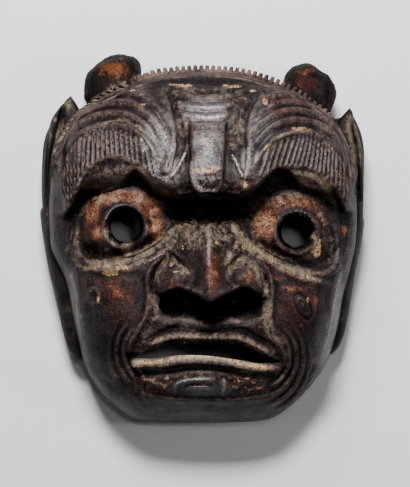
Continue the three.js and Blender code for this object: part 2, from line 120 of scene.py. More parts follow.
def cellNoise(x, y, z, size, seed):
    # value noise: a hashed number at each corner of a lattice, blended with a cubic step
    p = np.stack(np.broadcast_arrays(x, y, z), -1) / size
    low = np.floor(p).astype(np.int64)
    f = p - low
    f = f * f * (3 - 2 * f)
    total = np.zeros(p.shape[:-1])
    for corner in np.ndindex(2, 2, 2):
        c = low + corner
        mixed = c[..., 0] * 374761393 + c[..., 1] * 668265263 + c[..., 2] * 974634777 + seed * 1274126177
        mixed = (mixed ^ (mixed >> 13)) * 1103515245 & 0x7FFFFFFF
        mixed = (mixed ^ (mixed >> 16)) & 0xFFFF
        weight = np.prod(np.where(np.array(corner) == 1, f, 1 - f), -1)
        total += weight * mixed / 65535
    return total * 2 - 1


def rough(x, y, z, size, seed, octaves=3):  # noise over itself at half the size and half the height
    return sum(cellNoise(x, y, z, size / 2 ** k, seed + k) / 2 ** k for k in range(octaves)) / 1.75


# the head

sides = (("left", -1), ("right", 1))

head = {"outline": (0, 119.2, 23.4, 117.6, 39, 114, 53, 108.6, 66.4, 102.8, 78, 96, 87.7, 88.4, 96.2, 76.5,
            102.3, 62, 105.2, 45, 106.4, 25, 106.2, 8, 105, -3, 101.8, -13, 98, -24, 95, -35, 92.8, -48,
            90.4, -60, 88, -69, 85.2, -78.5, 79.4, -90.4, 71.2, -101.8, 62, -111, 51.4, -118.6, 40.5, -122.2,
            20, -123.4, 0, -123.6),
        "halfWidth": 107, "depth": 90, "domePower": 2.4, "wallMid": 30, "wallSwing": 14, "rimInset": 0.035,
        "domeShare": 0.8, "columns": 400, "rows": 460, "lean": 0.022}

eyes = {"left": {"centre": (-53, 12), "radii": (33, 27), "hole": (-52, 10.5), "holeRadius": 10.2},
        "right": {"centre": (62.5, 9), "radii": (31.5, 27), "hole": (62.5, 7), "holeRadius": 9.8}}

nose = {"middle": 4.6, "root": 20, "length": 55, "tip": (4.6, -33), "rise": 29, "start": 8, "half": 17,
        "widening": 16, "wing": (24, -25.5), "nostril": (19, -38)}

hair = {"left": {"centre": (-64, 46), "radii": (34.5, 32.5), "hairsAt": (-100, -80, -60, -33), "hairs": (-2,
            5, 11, 19), "leanAt": (-92, -78, -60, -45, -38), "lean": (-0.05, 0.05, -0.08, -0.1, -0.2)},
        "right": {"centre": (67, 39.5), "radii": (34, 33.5), "hairsAt": (34, 60, 76, 103), "hairs": (0, 7, 12,
            22), "leanAt": (44, 62, 76, 92), "lean": (0.3, 0.33, 0.15, 0.02)},
        "depth": 3.1}

furrow = {"left": {"centre": (-59, 62), "radii": (40, 42), "arcs": ((0, 186, 22), (0.34, 188, 18), (0.66, 188,
              24), (1, 186, 10))},
          "right": {"centre": (62, 58), "radii": (42, 44), "arcs": ((0, 128, -14), (0.2, 138, -14), (0.43,
              148, -16), (0.68, 154, -16), (1, 168, -14))}}

hairFoot = {"left": (-98, 60, -95, 44, -92, 29, -90, 23, -86, 31, -81, 43, -73, 51.5, -62.7, 56.5, -50.8, 55,
                -39, 48, -33, 42),
            "right": (42, 42, 46, 46, 54.7, 49.4, 62, 50, 69, 49, 76, 47, 83.4, 41.5, 90.6, 35, 97, 22)}

lid = {"left": (-86, 20, -85.5, 8, -84.5, -3, -80, -11.5, -71.7, -13.6, -61, -12.5, -49.8, -9.5, -36.6, -3.3,
           -24.4, 4.6, -13.7, 13.3),
       "right": (20.8, 8.9, 31.4, 1, 44.7, -7, 58, -14, 71.3, -19.6, 81, -21, 88.5, -16, 91, -7, 91, 4,
           88, 14)}

lidFloor = {"left": (-96, 30, -84, -6, -80, -11.5, -71.7, -13.6, -61, -12.5, -49.8, -9.5, -36.6, -3.3,
                -24.4, 4.6, -10, 16),
            "right": (16, 12, 20.8, 8.9, 31.4, 1, 44.7, -7, 58, -14, 71.3, -19.6, 81, -21, 89, -14, 100, 20)}

mouth = {"top": (-36, -71.6, -26, -70.2, -20, -68, 4, -67.4, 22, -68.1, 33, -71.8, 43.5, -76.4, 49, -78.6),
         "bottom": (53, -80.6, 36, -80.8, 28, -79.3, 15, -77.4, 4, -75.9, -15, -75.4, -30, -77.6, -46, -77.4),
         "cutFromTo": (2, 130)}

# height, centre, radii and power of each mound
largeMounds = ((-17, -53, 14, 42, 33, 1.2), (-17, 63, 11, 42, 33, 1.2), (-10, 4, 24, 34, 17, 1.2),
               (-8, -27, 22, 15, 17, 1.2), (-8, 36, 21, 15, 17, 1.2), (9, -68, -46, 34, 42, 1.4),
               (9, 71, -47, 34, 42, 1.4), (8, 3, -66, 62, 40, 1.1), (5, 2, -101, 62, 24, 1.3),
               (-6, 4, -46, 38, 13, 1.2))  # sockets, then cheeks, jaw, chin and the dip over the upper lip
bossMounds = ((3.5, 4, 42, 15, 26, 1), (-2.4, 20.5, 74, 6.5, 20, 0.7), (-1.2, -12.5, 62, 5, 26, 0.7))
browCuts = ((-9, 3, 22, 30, 11, 1), (3.5, -56, 41, 20, 11, 1.2), (3.5, 72, 36, 20, 11, 1.2))
noseCuts = ((-7, -15, -42, 15, 9, 0.8), (-7, 28, -42, 17, 10, 0.8), (-4, 5, -46, 11, 9, 1))

boss = {"middle": 3.2, "leanFrom": 30, "lean": 0.008, "half": 11, "wider": 1.8, "foot": 28.5, "footRound": 7,
        "top": 76, "rise": 4.8}

brow = {"rise": 17, "fadeUp": (22, 80), "fadeAside": (84, 108), "slope": 0.72, "deepest": 18, "middle": 4}


def outlineRadius(angle):  # the outline's curve read by angle, the cheeks a little over to the right
    edge = splineThrough(head["outline"])[::-1]
    up, across = np.sin(angle), np.cos(angle)
    radius = np.interp(np.arctan2(up, np.abs(across)), np.arctan2(edge[:, 1], edge[:, 0]),
                       np.hypot(edge[:, 0], edge[:, 1]))
    return radius * (1 + head["lean"] * np.sign(across) * smooth(0, -0.25, up) * smooth(-0.85, -0.6, up))


def wallHeight(angle):  # the wall under the dome, higher at the forehead than at the chin
    return head["wallMid"] + head["wallSwing"] * np.sin(angle)


def browEdge(x):  # dips between the eyes and arches over each of them
    return (28 + 6 * smooth(-20, -50, x) + 12 * bell(x + 45, 10) - 16 * smooth(-80, -94, x)
            + 5 * smooth(20, 50, x) + 14 * bell(x - 51, 13) - 12 * smooth(86, 97, x))


def noseEdge(x):  # low at the tip, with a high arch over each nostril
    return -36 - 4.5 * bell(x - nose["middle"], 6.5) + 3.8 * bell(x + 16.5, 8) + 4.5 * bell(x - 27, 8.5)


def eyeForm(x, y):  # a round bulge in each socket, cut off below along the lid's floor
    return sum(19 * mound(x, y, eyes[side]["centre"], eyes[side]["radii"], 0.95)
               * smooth(-2, 9, y - lineAt(x, lidFloor[side])) for side, _ in sides)


def noseForm(x, y):  # a tent that widens and rises to its tip, with a round wing on each side
    down = np.clip((nose["root"] - y) / nose["length"], 0, 1)
    across = np.clip(np.abs(x - nose["middle"]) / (nose["half"] + nose["widening"] * down), 0, 1)
    rise = nose["start"] + (nose["rise"] - nose["start"]) * down ** 1.1
    bridge = rise * (0.6 * (1 - across) + 0.4 * (1 - across ** 2)) * (1 - smooth(12, 24, y))
    wings = sum(16 * mound(x, y, (nose["middle"] + sign * nose["wing"][0], nose["wing"][1]), (14.5, 14), 0.8)
                for _, sign in sides)
    tip = 5 * mound(x, y, nose["tip"], (12, 15), 1)
    both = np.maximum(bridge, wings) + 0.3 * np.minimum(bridge, wings) + tip
    return both * smooth(-1, 2, y - noseEdge(x))


def browForm(x, y):  # a shelf over the eyes that fades up the forehead and slopes back under the hair
    over = y - browEdge(x)
    aside = x - brow["middle"]
    fade = (1 - smooth(*brow["fadeUp"], over)) * (1 - smooth(*brow["fadeAside"], np.abs(aside)))
    slope = np.zeros(x.shape)
    for side, sign in sides:
        inside = smooth(30, 40, sign * aside) * (1 - smooth(80, 96, sign * aside))
        slope += brow["slope"] * np.clip(lineAt(x, hairFoot[side]) - y, 0, brow["deepest"]) * inside
    return smooth(-1, 3.5, over) * (brow["rise"] * fade - slope)


def bossForm(x, y):  # a flat tongue between the brows that narrows to a round foot, beside a sunk panel
    aside = x - boss["middle"] - boss["lean"] * (y - boss["leanFrom"])
    half = boss["half"] + boss["wider"] * smooth(36, boss["top"], y)
    foot = boss["foot"] + boss["footRound"] * (aside / half) ** 2
    flat = smooth(0, 2.4, half - np.abs(aside)) * smooth(0, 3, y - foot) * (1 - smooth(boss["top"], 82, y))
    return boss["rise"] * flat + mounds(x, y, bossMounds)


def faceHeight(x, y):  # the dome plus all the large forms, which die out at the outline
    angle = np.arctan2(y, x)
    share = np.clip(np.hypot(x, y) / outlineRadius(angle), 0, 1)
    wall = wallHeight(angle)
    dome = wall + (head["depth"] - wall) * (1 - share ** head["domePower"]) ** (1 / head["domePower"])
    forms = mounds(x, y, largeMounds) + sum(form(x, y) for form in (eyeForm, noseForm, browForm, bossForm))
    return dome + forms * (1 - smooth(0.92, 1, share))


# the carved lines

# strokes, grouped by how they fade at both ends and how sharp they are: width, height and points in each row

cutLines = (
    # flat strips between the brows
    ((0.08, 0.08, 5), (
        (3.6, -1.9, -24.6, 106, -21.6, 97, -18.5, 89, -15.8, 78, -14.4, 67, -15.6, 59, -18.8, 51, -21.8, 44),
        (3, -1.7, 36, 98, 31, 89, 28, 80, 27.2, 71, 26.9, 62, 26.8, 54, 27.2, 46))),
    # the strips' sharp edges, the grooves beside the boss and the rim of its foot
    ((0.12, 0.05), (
        ((0.8, 4.5), 3, -27, 105, -23.9, 97.3, -21, 87, -18.8, 78.1, -17.8, 66.2, -19.9, 57.3, -22.5, 47.7,
         -23, 43.5),
        ((1.4, 0.8), 2.1, -17.9, 95.1, -14.3, 84.3, -11, 69.2, -11.2, 60.3, -14.7, 52.9, -18.1, 46.2,
         -21.8, 41.2),
        ((4.5, 0.8), 3, 40.8, 101.5, 34.5, 91.4, 30.8, 81.7, 29, 72.2, 29.6, 63.2, 29.8, 54.3, 28.9, 44.7,
         27.9, 40.3),
        ((0.8, 1.6), 1.2, 26.9, 90.6, 25.3, 81, 24.8, 71, 23, 63),
        ((0.8, 1.4), 2.1, 19, 58.5, 21, 54.5, 23.1, 50.6, 26.6, 41.4),
        ((1, 1.8), -1.8, -10.8, 80, -9.9, 62, -9.4, 48, -8.4, 37),
        ((1.8, 1), -1.8, 16.2, 80, 16.6, 64, 15.6, 50, 14.4, 36),
        (2, 1.8, -8.2, 54, -7.6, 44, -5, 36.5, 0, 31.8, 5, 31, 10, 33.4),
        (0.9, -1, -31, 88, -25.5, 78, -21.5, 68))),
    # the nose's back, the cuts over its wings with a ledge under each and the grooves round them, the folds
    # from nose to mouth, the grooves over the upper lip, under the lower one and over the lip's middle
    ((0.1, 0.1), (((2.6, 4), 2.5, 4.4, 14, 4.3, 0, 4.3, -15, 4.5, -32),
        (1.5, -3, -23.4, -7, -16, -13, -9.2, -19.3), (1.5, -3, 27.9, -7, 22, -12.5, 16.4, -18.5),
        (1.4, 1.5, -25, -11, -17, -16, -9.5, -22.5), (1.4, 1.5, 30, -11, 24, -16, 17.5, -22),
        (2, -3.2, -24, -9, -30.5, -16, -33.4, -24, -33.4, -34),
        (2, -3.2, 31, -9, 38.5, -16, 42, -25, 42.6, -35),
        (2.4, 3.2, -23, -7, -31, -14, -36.5, -24, -36, -36, -37.5, -48, -43, -58, -48, -66, -50.5, -74),
        (2.4, 3.2, 31, -8, 40, -16, 46, -28, 45, -42, 45, -54, 49, -64.7, 54.5, -74.6, 56, -84),
        (2.4, -3.4, -35.8, -65.6, -26, -60, -17, -56.5, -6.6, -57.8, 4, -59.2, 18, -57.6, 27, -58.8,
         37.6, -64.7, 47.3, -72),
        (1.8, -2.6, -46, -88, -24, -87.4, -8, -85, 10, -85.4, 28, -89.4, 48, -90.6),
        (2.4, -1.6, 4.4, -44, 4.4, -53))),
    # ridges on the cheekbones, lines under the lower lip, the chin's panel and its crack
    ((0.12, 0.12), ((2, 2.4, -83.8, -17.8, -66, -19, -51.5, -17.8, -41.6, -14, -28.4, -7.9, -21.8, -4),
        (2, 2, 86, -28, 72, -26.5, 58, -21, 46, -14, 36, -8),
        (0.8, 1.3, -30, -86.2, -18, -84.6, -4, -83.2, 12, -84.2, 28, -87),
        (1.6, 1.4, -46, -81, -41, -87, -39, -95), (1.4, 1, -50, -83, -46, -90),
        (1, 1.9, -19, -101, -18, -94.5, -10, -92.2, 1.5, -91.4, 8, -92),
        (1, 2.1, 13.7, -90, 14.2, -96, 13.2, -102.6), (0.9, 1.2, -12, -97.5, -2, -96.6, 6, -97),
        (0.7, -1.4, -40.5, -84, -38, -92, -39.5, -99, -37, -104.5))),
    # the edges of the cheeks
    ((0.2, 0.2), (((1.4, 5), 1.2, 101, 2, 97, -12, 92.5, -26, 89, -42, 86.5, -58, 82, -74, 75, -88),
        ((5, 1.4), 1.1, -100, 0, -93, -14, -87, -30, -85, -52, -82, -69, -77, -82))),
    # the rolled upper lip
    ((0.08, 0.08, 3), (
        (2.5, 3.2, -37.6, -68.6, -26, -64.4, -17, -62.4, 4, -63, 20, -63, 29, -65.4, 39.5, -70.8,
         47.5, -75.8),)),
    # the ledge of the lower lip
    ((0.04, 0.04, 4), (
        ((2.7, 2), 3, -49, -80.6, -35, -81.6, -24, -80.8, -12, -78.8, 4, -79, 18, -80.8, 31, -83.2,
         44.7, -84.4, 53, -83),)),
    # the line along that ledge
    ((0.04, 0.04), (
        (0.9, 0.8, -46, -82.4, -35, -83.2, -24, -82.4, -12, -80.4, 4, -80.6, 18, -82.4, 31, -84.8,
         44.7, -85.6),)),
    # the fold over the smooth chin
    ((0.15, 0.15), (((0.6, 3.4), 1.3, -42, -101, -24, -104.5, 5, -105.3, 30, -104.8, 46, -102),)))

rightWrinkles = ((22, 36, 60, -66), (26, 37, 52, -74), (30.5, 37.5, 42, -74), (34.6, 38, 20, -70),
                 (38, 38, -4, -66))  # reach, middle, from and to in degrees

# centre, radii and strength of each patch of flaked lacquer
flaking = ((-31, -92, 12, 8, 1), (23, -93, 15, 11, 1), (-30, -98, 14, 7, 0.6), (48, -92, 8, 6, 0.5),
           (4, 46, 10, 5, 1), (-10, 103, 14, 3, 1), (22, 102, 14, 3, 1), (64, 101, 12, 6, 0.8))

creases = (73, 80.2, 87.6, 94.8, 101.6, 108)  # up the middle of the forehead


def hollowForms(x, y):  # deep cuts under the brow's middle and under the nose, and full lids
    return mounds(x, y, browCuts) + mounds(x, y, noseCuts) * smooth(0.5, -2.5, y - noseEdge(x))


def furrowLines(x, y):  # ellipses that shrink from the outer furrow to the top of the hair, and grooves
    total = np.zeros(x.shape)
    for side, _ in sides:
        for share, start, end in furrow[side]["arcs"]:
            centre, radii = (np.array(furrow[side][name]) * (1 - share) + np.array(hair[side][name]) * share
                             for name in ("centre", "radii"))
            height, inward = (1.8, 2.8) if share == 1 else (2.1, 3.8)
            total += fold(x, y, centre, radii, (start, end), (2, height), (1.5, -1.5), inward, 0.1, 0.25)
    return total


def hairInside(x, y, side, sign):  # 1 over an eyebrow's hair, between its top ellipse and its foot line
    (cx, cy), (rx, ry) = hair[side]["centre"], hair[side]["radii"]
    top = 1 - np.hypot((x - cx) / (rx - 1.5), (y - cy) / (ry - 1.5))
    return smooth(0, 0.05, top) * smooth(0, 2, y - lineAt(x, hairFoot[side])) * (sign * x > 30)


def hairRidges(x, y, side):
    # the absolute value of a cosine, to a low power, across a brow, leaning and narrowing by place
    lean = np.interp(x, hair[side]["leanAt"], hair[side]["lean"])
    count = np.interp(x - lean * (y - 55), hair[side]["hairsAt"], hair[side]["hairs"])
    return np.abs(np.cos(np.pi * count)) ** 0.55


def hairLines(x, y):  # the ridges stand on a sunk field, over a raised foot line
    return sum(hairInside(x, y, side, sign) * (hair["depth"] * hairRidges(x, y, side) - 1.6)
               + stroke(x, y, hairFoot[side], 1.5, 1.2, 0.05, 0.15) for side, sign in sides)


def foreheadLines(x, y):
    # soft rolls between creases: the absolute value of a sine, to a low power, of the count up the forehead
    sag = 4.6 * ((x - 3) / 28) ** 2
    count = np.interp(y - sag, creases, range(-1, 5))
    rolls = np.abs(np.sin(np.pi * count)) ** 0.7 - 0.45
    half = 14 + 0.5 * np.clip(y - 79, 0, 22)
    inside = smooth(75, 79, y - sag) * (1 - smooth(102, 107, y - sag))
    return 3 * rolls * inside * smooth(0, 7, half + 4 - np.abs(x - 2))


def holeAway(x, y, side):  # distance from the edge of an eye's hole
    hole = eyes[side]["hole"]
    return np.hypot(x - hole[0], y - hole[1]) - eyes[side]["holeRadius"]


def eyeLines(x, y):  # each lid, and a rim with a groove round each hole
    return sum(stroke(x, y, lid[side], 2.4, 3.2, 0.12, 0.1) + 0.7 * bell(holeAway(x, y, side) - 4.6, 1.4)
               - 0.6 * bell(holeAway(x, y, side) - 7.6, 1.6) for side, _ in sides)


def wrinkleLines(x, y):  # arcs round the corners of the mouth, lower the farther they are
    total = np.zeros(x.shape)
    for k, (reach, middle, *turns) in enumerate(rightWrinkles):
        total += fold(x, y, (middle, -77 - 0.6 * k), (reach, reach + 0.8 * k), turns,
                      ((1.1, 2.2), 1.7 - 0.2 * k), (1, -1.5 + 0.15 * k), 2, 0.35, 0.12)
    for k in range(3):
        reach = 21 + 5 * k
        total += fold(x, y, (-32, -74), (reach, 1.06 * reach), (128 + 6 * k, 240 - 8 * k),
                      (1.7, 1.2 - 0.25 * k), (1.1, -1.3 + 0.2 * k), 2.3, 0.25, 0.2)
    return total


def knotAway(x, y):  # distance from the cheek's knot in shares of its leaning oval
    u, v = (x - 67) * 0.885 + (y + 43) * 0.465, (y + 43) * 0.885 - (x - 67) * 0.465
    return np.hypot(u / 4.1, v / 8.4)


def scarLines(x, y):  # an old knot on the right cheek, a small pit on the left one
    away = knotAway(x, y)
    pit = np.hypot((x + 73) / 2.4, (y + 36) / 3.6)
    return (0.9 * smooth(1, 0.7, away) - 1.3 * bell(away - 1.08, 0.14) - 0.6 * bell(away - 0.5, 0.13)
            + 0.7 * bell(pit - 1.5, 0.5) - 1.8 * bell(pit, 0.8))


def spots(x, y, places):  # the largest of several soft ellipses, each one less the squared radius, to a power
    return np.max([strength * mound(x, y, (cx, cy), (rx, ry), 0.8) for cx, cy, rx, ry, strength in places], 0)


def flakes(x, y):  # patches where a skin of lacquer still stands between flaked places
    return 0.8 * smooth(0.1, 0.35, rough(x, y, 0 * x, 2.6, 61, 2)) * spots(x, y, flaking)


def relief(x, y):  # all that is carved on the large forms
    makers = (hollowForms, furrowLines, hairLines, foreheadLines, eyeLines, wrinkleLines, scarLines, flakes)
    lines = [line for fades, rows in cutLines for line in strokes(x, y, rows, *fades)]
    return sum(lines) + sum(make(x, y) for make in makers)


# meshes from arrays

def makeMesh(name, points, triangles):  # points in millimetres, triangles as rows of three indices
    mesh = bpy.data.meshes.new(name)
    mesh.vertices.add(len(points))
    mesh.vertices.foreach_set("co", (np.asarray(points) * mm).astype(np.float32).ravel())
    mesh.loops.add(3 * len(triangles))
    mesh.loops.foreach_set("vertex_index", np.asarray(triangles, np.int32).ravel())
    mesh.polygons.add(len(triangles))
    mesh.polygons.foreach_set("loop_start", np.arange(0, 3 * len(triangles), 3, dtype=np.int32))
    mesh.update(calc_edges=True)
    return addObject(name, mesh)


def addObject(name, content):
    added = bpy.data.objects.new(name, content)
    bpy.context.scene.collection.objects.link(added)
    return added


def outward(points, triangles):  # turns every triangle if the volume, a sum of triple products, is below zero
    a, b, c = (points[triangles[:, k]] for k in range(3))
    volume = np.einsum("ij,ij->", a, np.cross(b, c))
    return triangles if volume > 0 else triangles[:, ::-1]


def gridTriangles(rows, columns, wrap=False):  # two for each square of a grid, round and round if it wraps
    index = np.arange(rows * columns).reshape(rows, columns)
    if wrap:
        index = np.hstack([index, index[:, :1]])
    a, b, c, d = index[:-1, :-1], index[:-1, 1:], index[1:, 1:], index[1:, :-1]
    return np.stack([np.stack([a, b, c], -1), np.stack([a, c, d], -1)], 2).reshape(-1, 3)


def sheetSolid(name, points):  # a grid of points over the floor, closed below by a flat fan
    rows, columns = points.shape[:2]
    index = np.arange(rows * columns).reshape(rows, columns)
    rim = np.concatenate([index[0, :-1], index[:-1, -1], index[-1, :0:-1], index[:0:-1, 0]])
    fan = np.stack([np.roll(rim, -1), rim, np.full(len(rim), rows * columns)], -1)
    corners = np.vstack([points.reshape(-1, 3), (0, 0, points[0, 0, 2])])
    return makeMesh(name, corners, outward(corners, np.vstack([gridTriangles(rows, columns), fan])))


def tubeSolid(name, rings):  # rings of points skinned one to the next, with a fan over each end
    count, sections = rings.shape[:2]
    corners = np.vstack([rings.reshape(-1, 3), rings[0].mean(0), rings[-1].mean(0)])
    first, last = np.arange(sections), np.arange(sections) + (count - 1) * sections
    startFan = np.stack([np.roll(first, -1), first, np.full(sections, count * sections)], -1)
    endFan = np.stack([last, np.roll(last, -1), np.full(sections, count * sections + 1)], -1)
    triangles = np.vstack([gridTriangles(count, sections, wrap=True), startFan, endFan])
    return makeMesh(name, corners, outward(corners, triangles))


def foldedGrid(columns, rows):  # a square folded onto a disc: x times the root of one less half of y squared
    s, t = np.meshgrid(np.linspace(-1, 1, columns), np.linspace(-1, 1, rows))
    u, v = s * np.sqrt(1 - t * t / 2), t * np.sqrt(1 - s * s / 2)
    return np.clip(np.hypot(u, v), 0, 1), np.arctan2(v, u)


def domeShare(part):  # shares of the outline at equal steps along the dome's own curve
    turn = np.linspace(0, np.pi / 2, 400)
    power = 2 / head["domePower"]
    share, up = np.sin(turn) ** power, np.cos(turn) ** power
    steps = np.hypot(np.diff(share) * head["halfWidth"], np.diff(up) * (head["depth"] - head["wallMid"]))
    runs = np.concatenate([[0], np.cumsum(steps)])
    return np.interp(part, runs / runs[-1], share)


def buildFace():  # dome then wall, the carved lines raised along the normal, slightly uneven as cut by hand
    out, angle = foldedGrid(head["columns"], head["rows"])
    wall = np.clip((out - head["domeShare"]) / (1 - head["domeShare"]), 0, 1)
    share = np.where(wall > 0, 1 - head["rimInset"] * wall, domeShare(np.clip(out / head["domeShare"], 0, 1)))
    radius = share * outlineRadius(angle)
    x, y = radius * np.cos(angle), radius * np.sin(angle)
    z = np.where(wall > 0, wallHeight(angle) * (1 - wall), faceHeight(x, y))
    points = np.stack([x, y, z], -1)
    normals = np.cross(np.gradient(points, axis=1), np.gradient(points, axis=0))
    normals /= np.linalg.norm(normals, axis=-1, keepdims=True) + 1e-9
    onDome = (1 - smooth(0.97, 1, share)) * (wall == 0)
    handCut = 0.35 * rough(x, y, z, 14, 3, 2) + 0.12 * rough(x, y, z, 3.5, 7, 2)
    height = relief(x, y) * onDome + handCut * (1 - smooth(0.6, 0.9, wall))
    return sheetSolid("mask", points + normals * height[..., None])


hollow = {"share": 0.87, "wood": 10, "below": -4, "roofPart": 0.9, "columns": 110, "rows": 120,
          "touches": ((0, 1), (0.5, 8), (0.8, 12), (1, 12))}  # share of the wood's thickness, how many


def buildHollow():
    # the path of a ball's middle as it rolls under the face, its radius the wood's thickness, with gouges
    out, angle = foldedGrid(hollow["columns"], hollow["rows"])
    share = hollow["share"] * np.clip(out / hollow["roofPart"], 0, 1)
    x, y = (f(angle) * share * outlineRadius(angle) for f in (np.cos, np.sin))
    roof = np.full(x.shape, np.inf)
    wood = hollow["wood"]
    for reach, count in hollow["touches"]:
        for turn in np.arange(count) / count * 2 * np.pi:
            dx, dy = reach * wood * np.cos(turn), reach * wood * np.sin(turn)
            roof = np.minimum(roof, faceHeight(x + dx, y + dy) - wood * np.sqrt(1 - reach * reach))
    down = np.clip((out - hollow["roofPart"]) / (1 - hollow["roofPart"]), 0, 1)
    gouges = 0.7 * np.abs(rough(x, y * 0.35, roof, 9, 21, 2)) * (1 - smooth(0, 0.5, down))
    return sheetSolid("hollow", np.stack([x, y, (roof - gouges) * (1 - down) + hollow["below"] * down], -1))


def buildEyeHole(side):  # a round bore with a worn cone in front
    (x, y), radius = eyes[side]["hole"], eyes[side]["holeRadius"]
    top = float(faceHeight(np.array(x), np.array(y)))
    turn = np.linspace(0, 2 * np.pi, 64, endpoint=False)
    uneven = 0.25 * np.sin(3 * turn + x) + 0.2 * np.sin(7 * turn + y)
    profile = ((10, -0.6), (top - 8, 0), (top - 2, 1.7), (top + 1, 2.2), (120, 2.8))  # height, added radius
    rings = []
    for z, more in profile:
        out = radius + more + uneven
        rings.append(np.stack([x + out * np.cos(turn), y + out * np.sin(turn), np.full(64, z)], -1))
    return tubeSolid("eyeHole", np.array(rings))


def buildMouthSlot():  # the slot's outline carried straight back
    outline = np.vstack([splineThrough(mouth["top"], 6), splineThrough(mouth["bottom"], 6)])
    rings = [np.column_stack([outline, np.full(len(outline), z)]) for z in mouth["cutFromTo"]]
    return tubeSolid("mouthSlot", np.array(rings))


def buildNostril(sign):  # an ellipsoid cut up under the wing
    turn, lift = np.meshgrid(np.linspace(0, 2 * np.pi, 32, endpoint=False), np.linspace(-1.45, 1.45, 18))
    aside, up = nose["nostril"]
    rings = np.stack([nose["middle"] + sign * aside + 10 * np.cos(lift) * np.cos(turn),
                      up + 6.5 * np.cos(lift) * np.sin(turn), 96 + 12 * np.sin(lift)], -1)
    return tubeSolid("nostril", rings)


band = {"from": 147, "to": 38, "teeth": 56, "tooth": 2.8, "perTooth": 10, "around": 28, "boxy": 0.55,
        "inset": 1.7, "half": 2.9, "thick": 4.6, "radius": 114}


def bandWave(degrees, up, across):  # positive on a tooth; the teeth slant more and more towards the left end
    slant = 0.75 * smooth(102, 118, degrees) + 0.5 * smooth(112, 124, degrees)
    along = band["teeth"] * (band["from"] - degrees) / (band["from"] - band["to"])
    return np.cos(2 * np.pi * (along + slant * (up + 0.6 * across)))


def buildBand():  # a squared oval tube along the outline's top, in teeth that slant and shrink at its ends
    degrees = np.linspace(band["from"], band["to"], band["teeth"] * band["perTooth"] + 1)[:, None]
    turn = np.radians(degrees)
    around = np.linspace(0, 2 * np.pi, band["around"], endpoint=False)[None]
    across, up = (np.sign(f(around)) * np.abs(f(around)) ** band["boxy"] for f in (np.cos, np.sin))
    wave = bandWave(degrees, up, across)
    small = smooth(112, 126, degrees) + smooth(62, 50, degrees)
    ends = smooth(band["to"], band["to"] + 9, degrees) * smooth(band["from"], band["from"] - 9, degrees)
    teeth = smooth(-0.62, -0.2, wave) * (smooth(0, 0.7, across) * (1 - 0.45 * small) + 0.15 * small) * ends
    ragged = 0.5 * rough(turn * band["radius"], up, turn * 0, 4, 31, 2)
    rope = smooth(112, 124, degrees)
    thick = 1 - 0.45 * small - 0.1 * rope
    out = outlineRadius(turn) - band["inset"] + band["half"] * across * thick
    out = out + (band["tooth"] + ragged) * teeth
    gap = (0.8 + 0.8 * small) * (1 - teeth) * (across > 0) + 1.6 * rope * (1 - smooth(-0.5, 0.1, wave)) * ends
    z = wallHeight(turn) + 4 + (band["thick"] * thick - gap) * up
    return tubeSolid("band", np.stack([out * np.cos(turn), out * np.sin(turn), z], -1))


def buildBandLine(share, fromDegrees, toDegrees):  # a thin raised line along the head's edge
    turn = np.radians(np.linspace(fromDegrees, toDegrees, 260))[:, None]
    around = np.linspace(0, 2 * np.pi, 12, endpoint=False)[None]
    middle = share * outlineRadius(turn)
    x, y = middle * np.cos(turn), middle * np.sin(turn)
    z = faceHeight(x, y) + relief(x, y) + 0.2 + 0.9 * np.sin(around)
    out = middle + 0.9 * np.cos(around)
    return tubeSolid("bandLine", np.stack([out * np.cos(turn), out * np.sin(turn), z], -1))


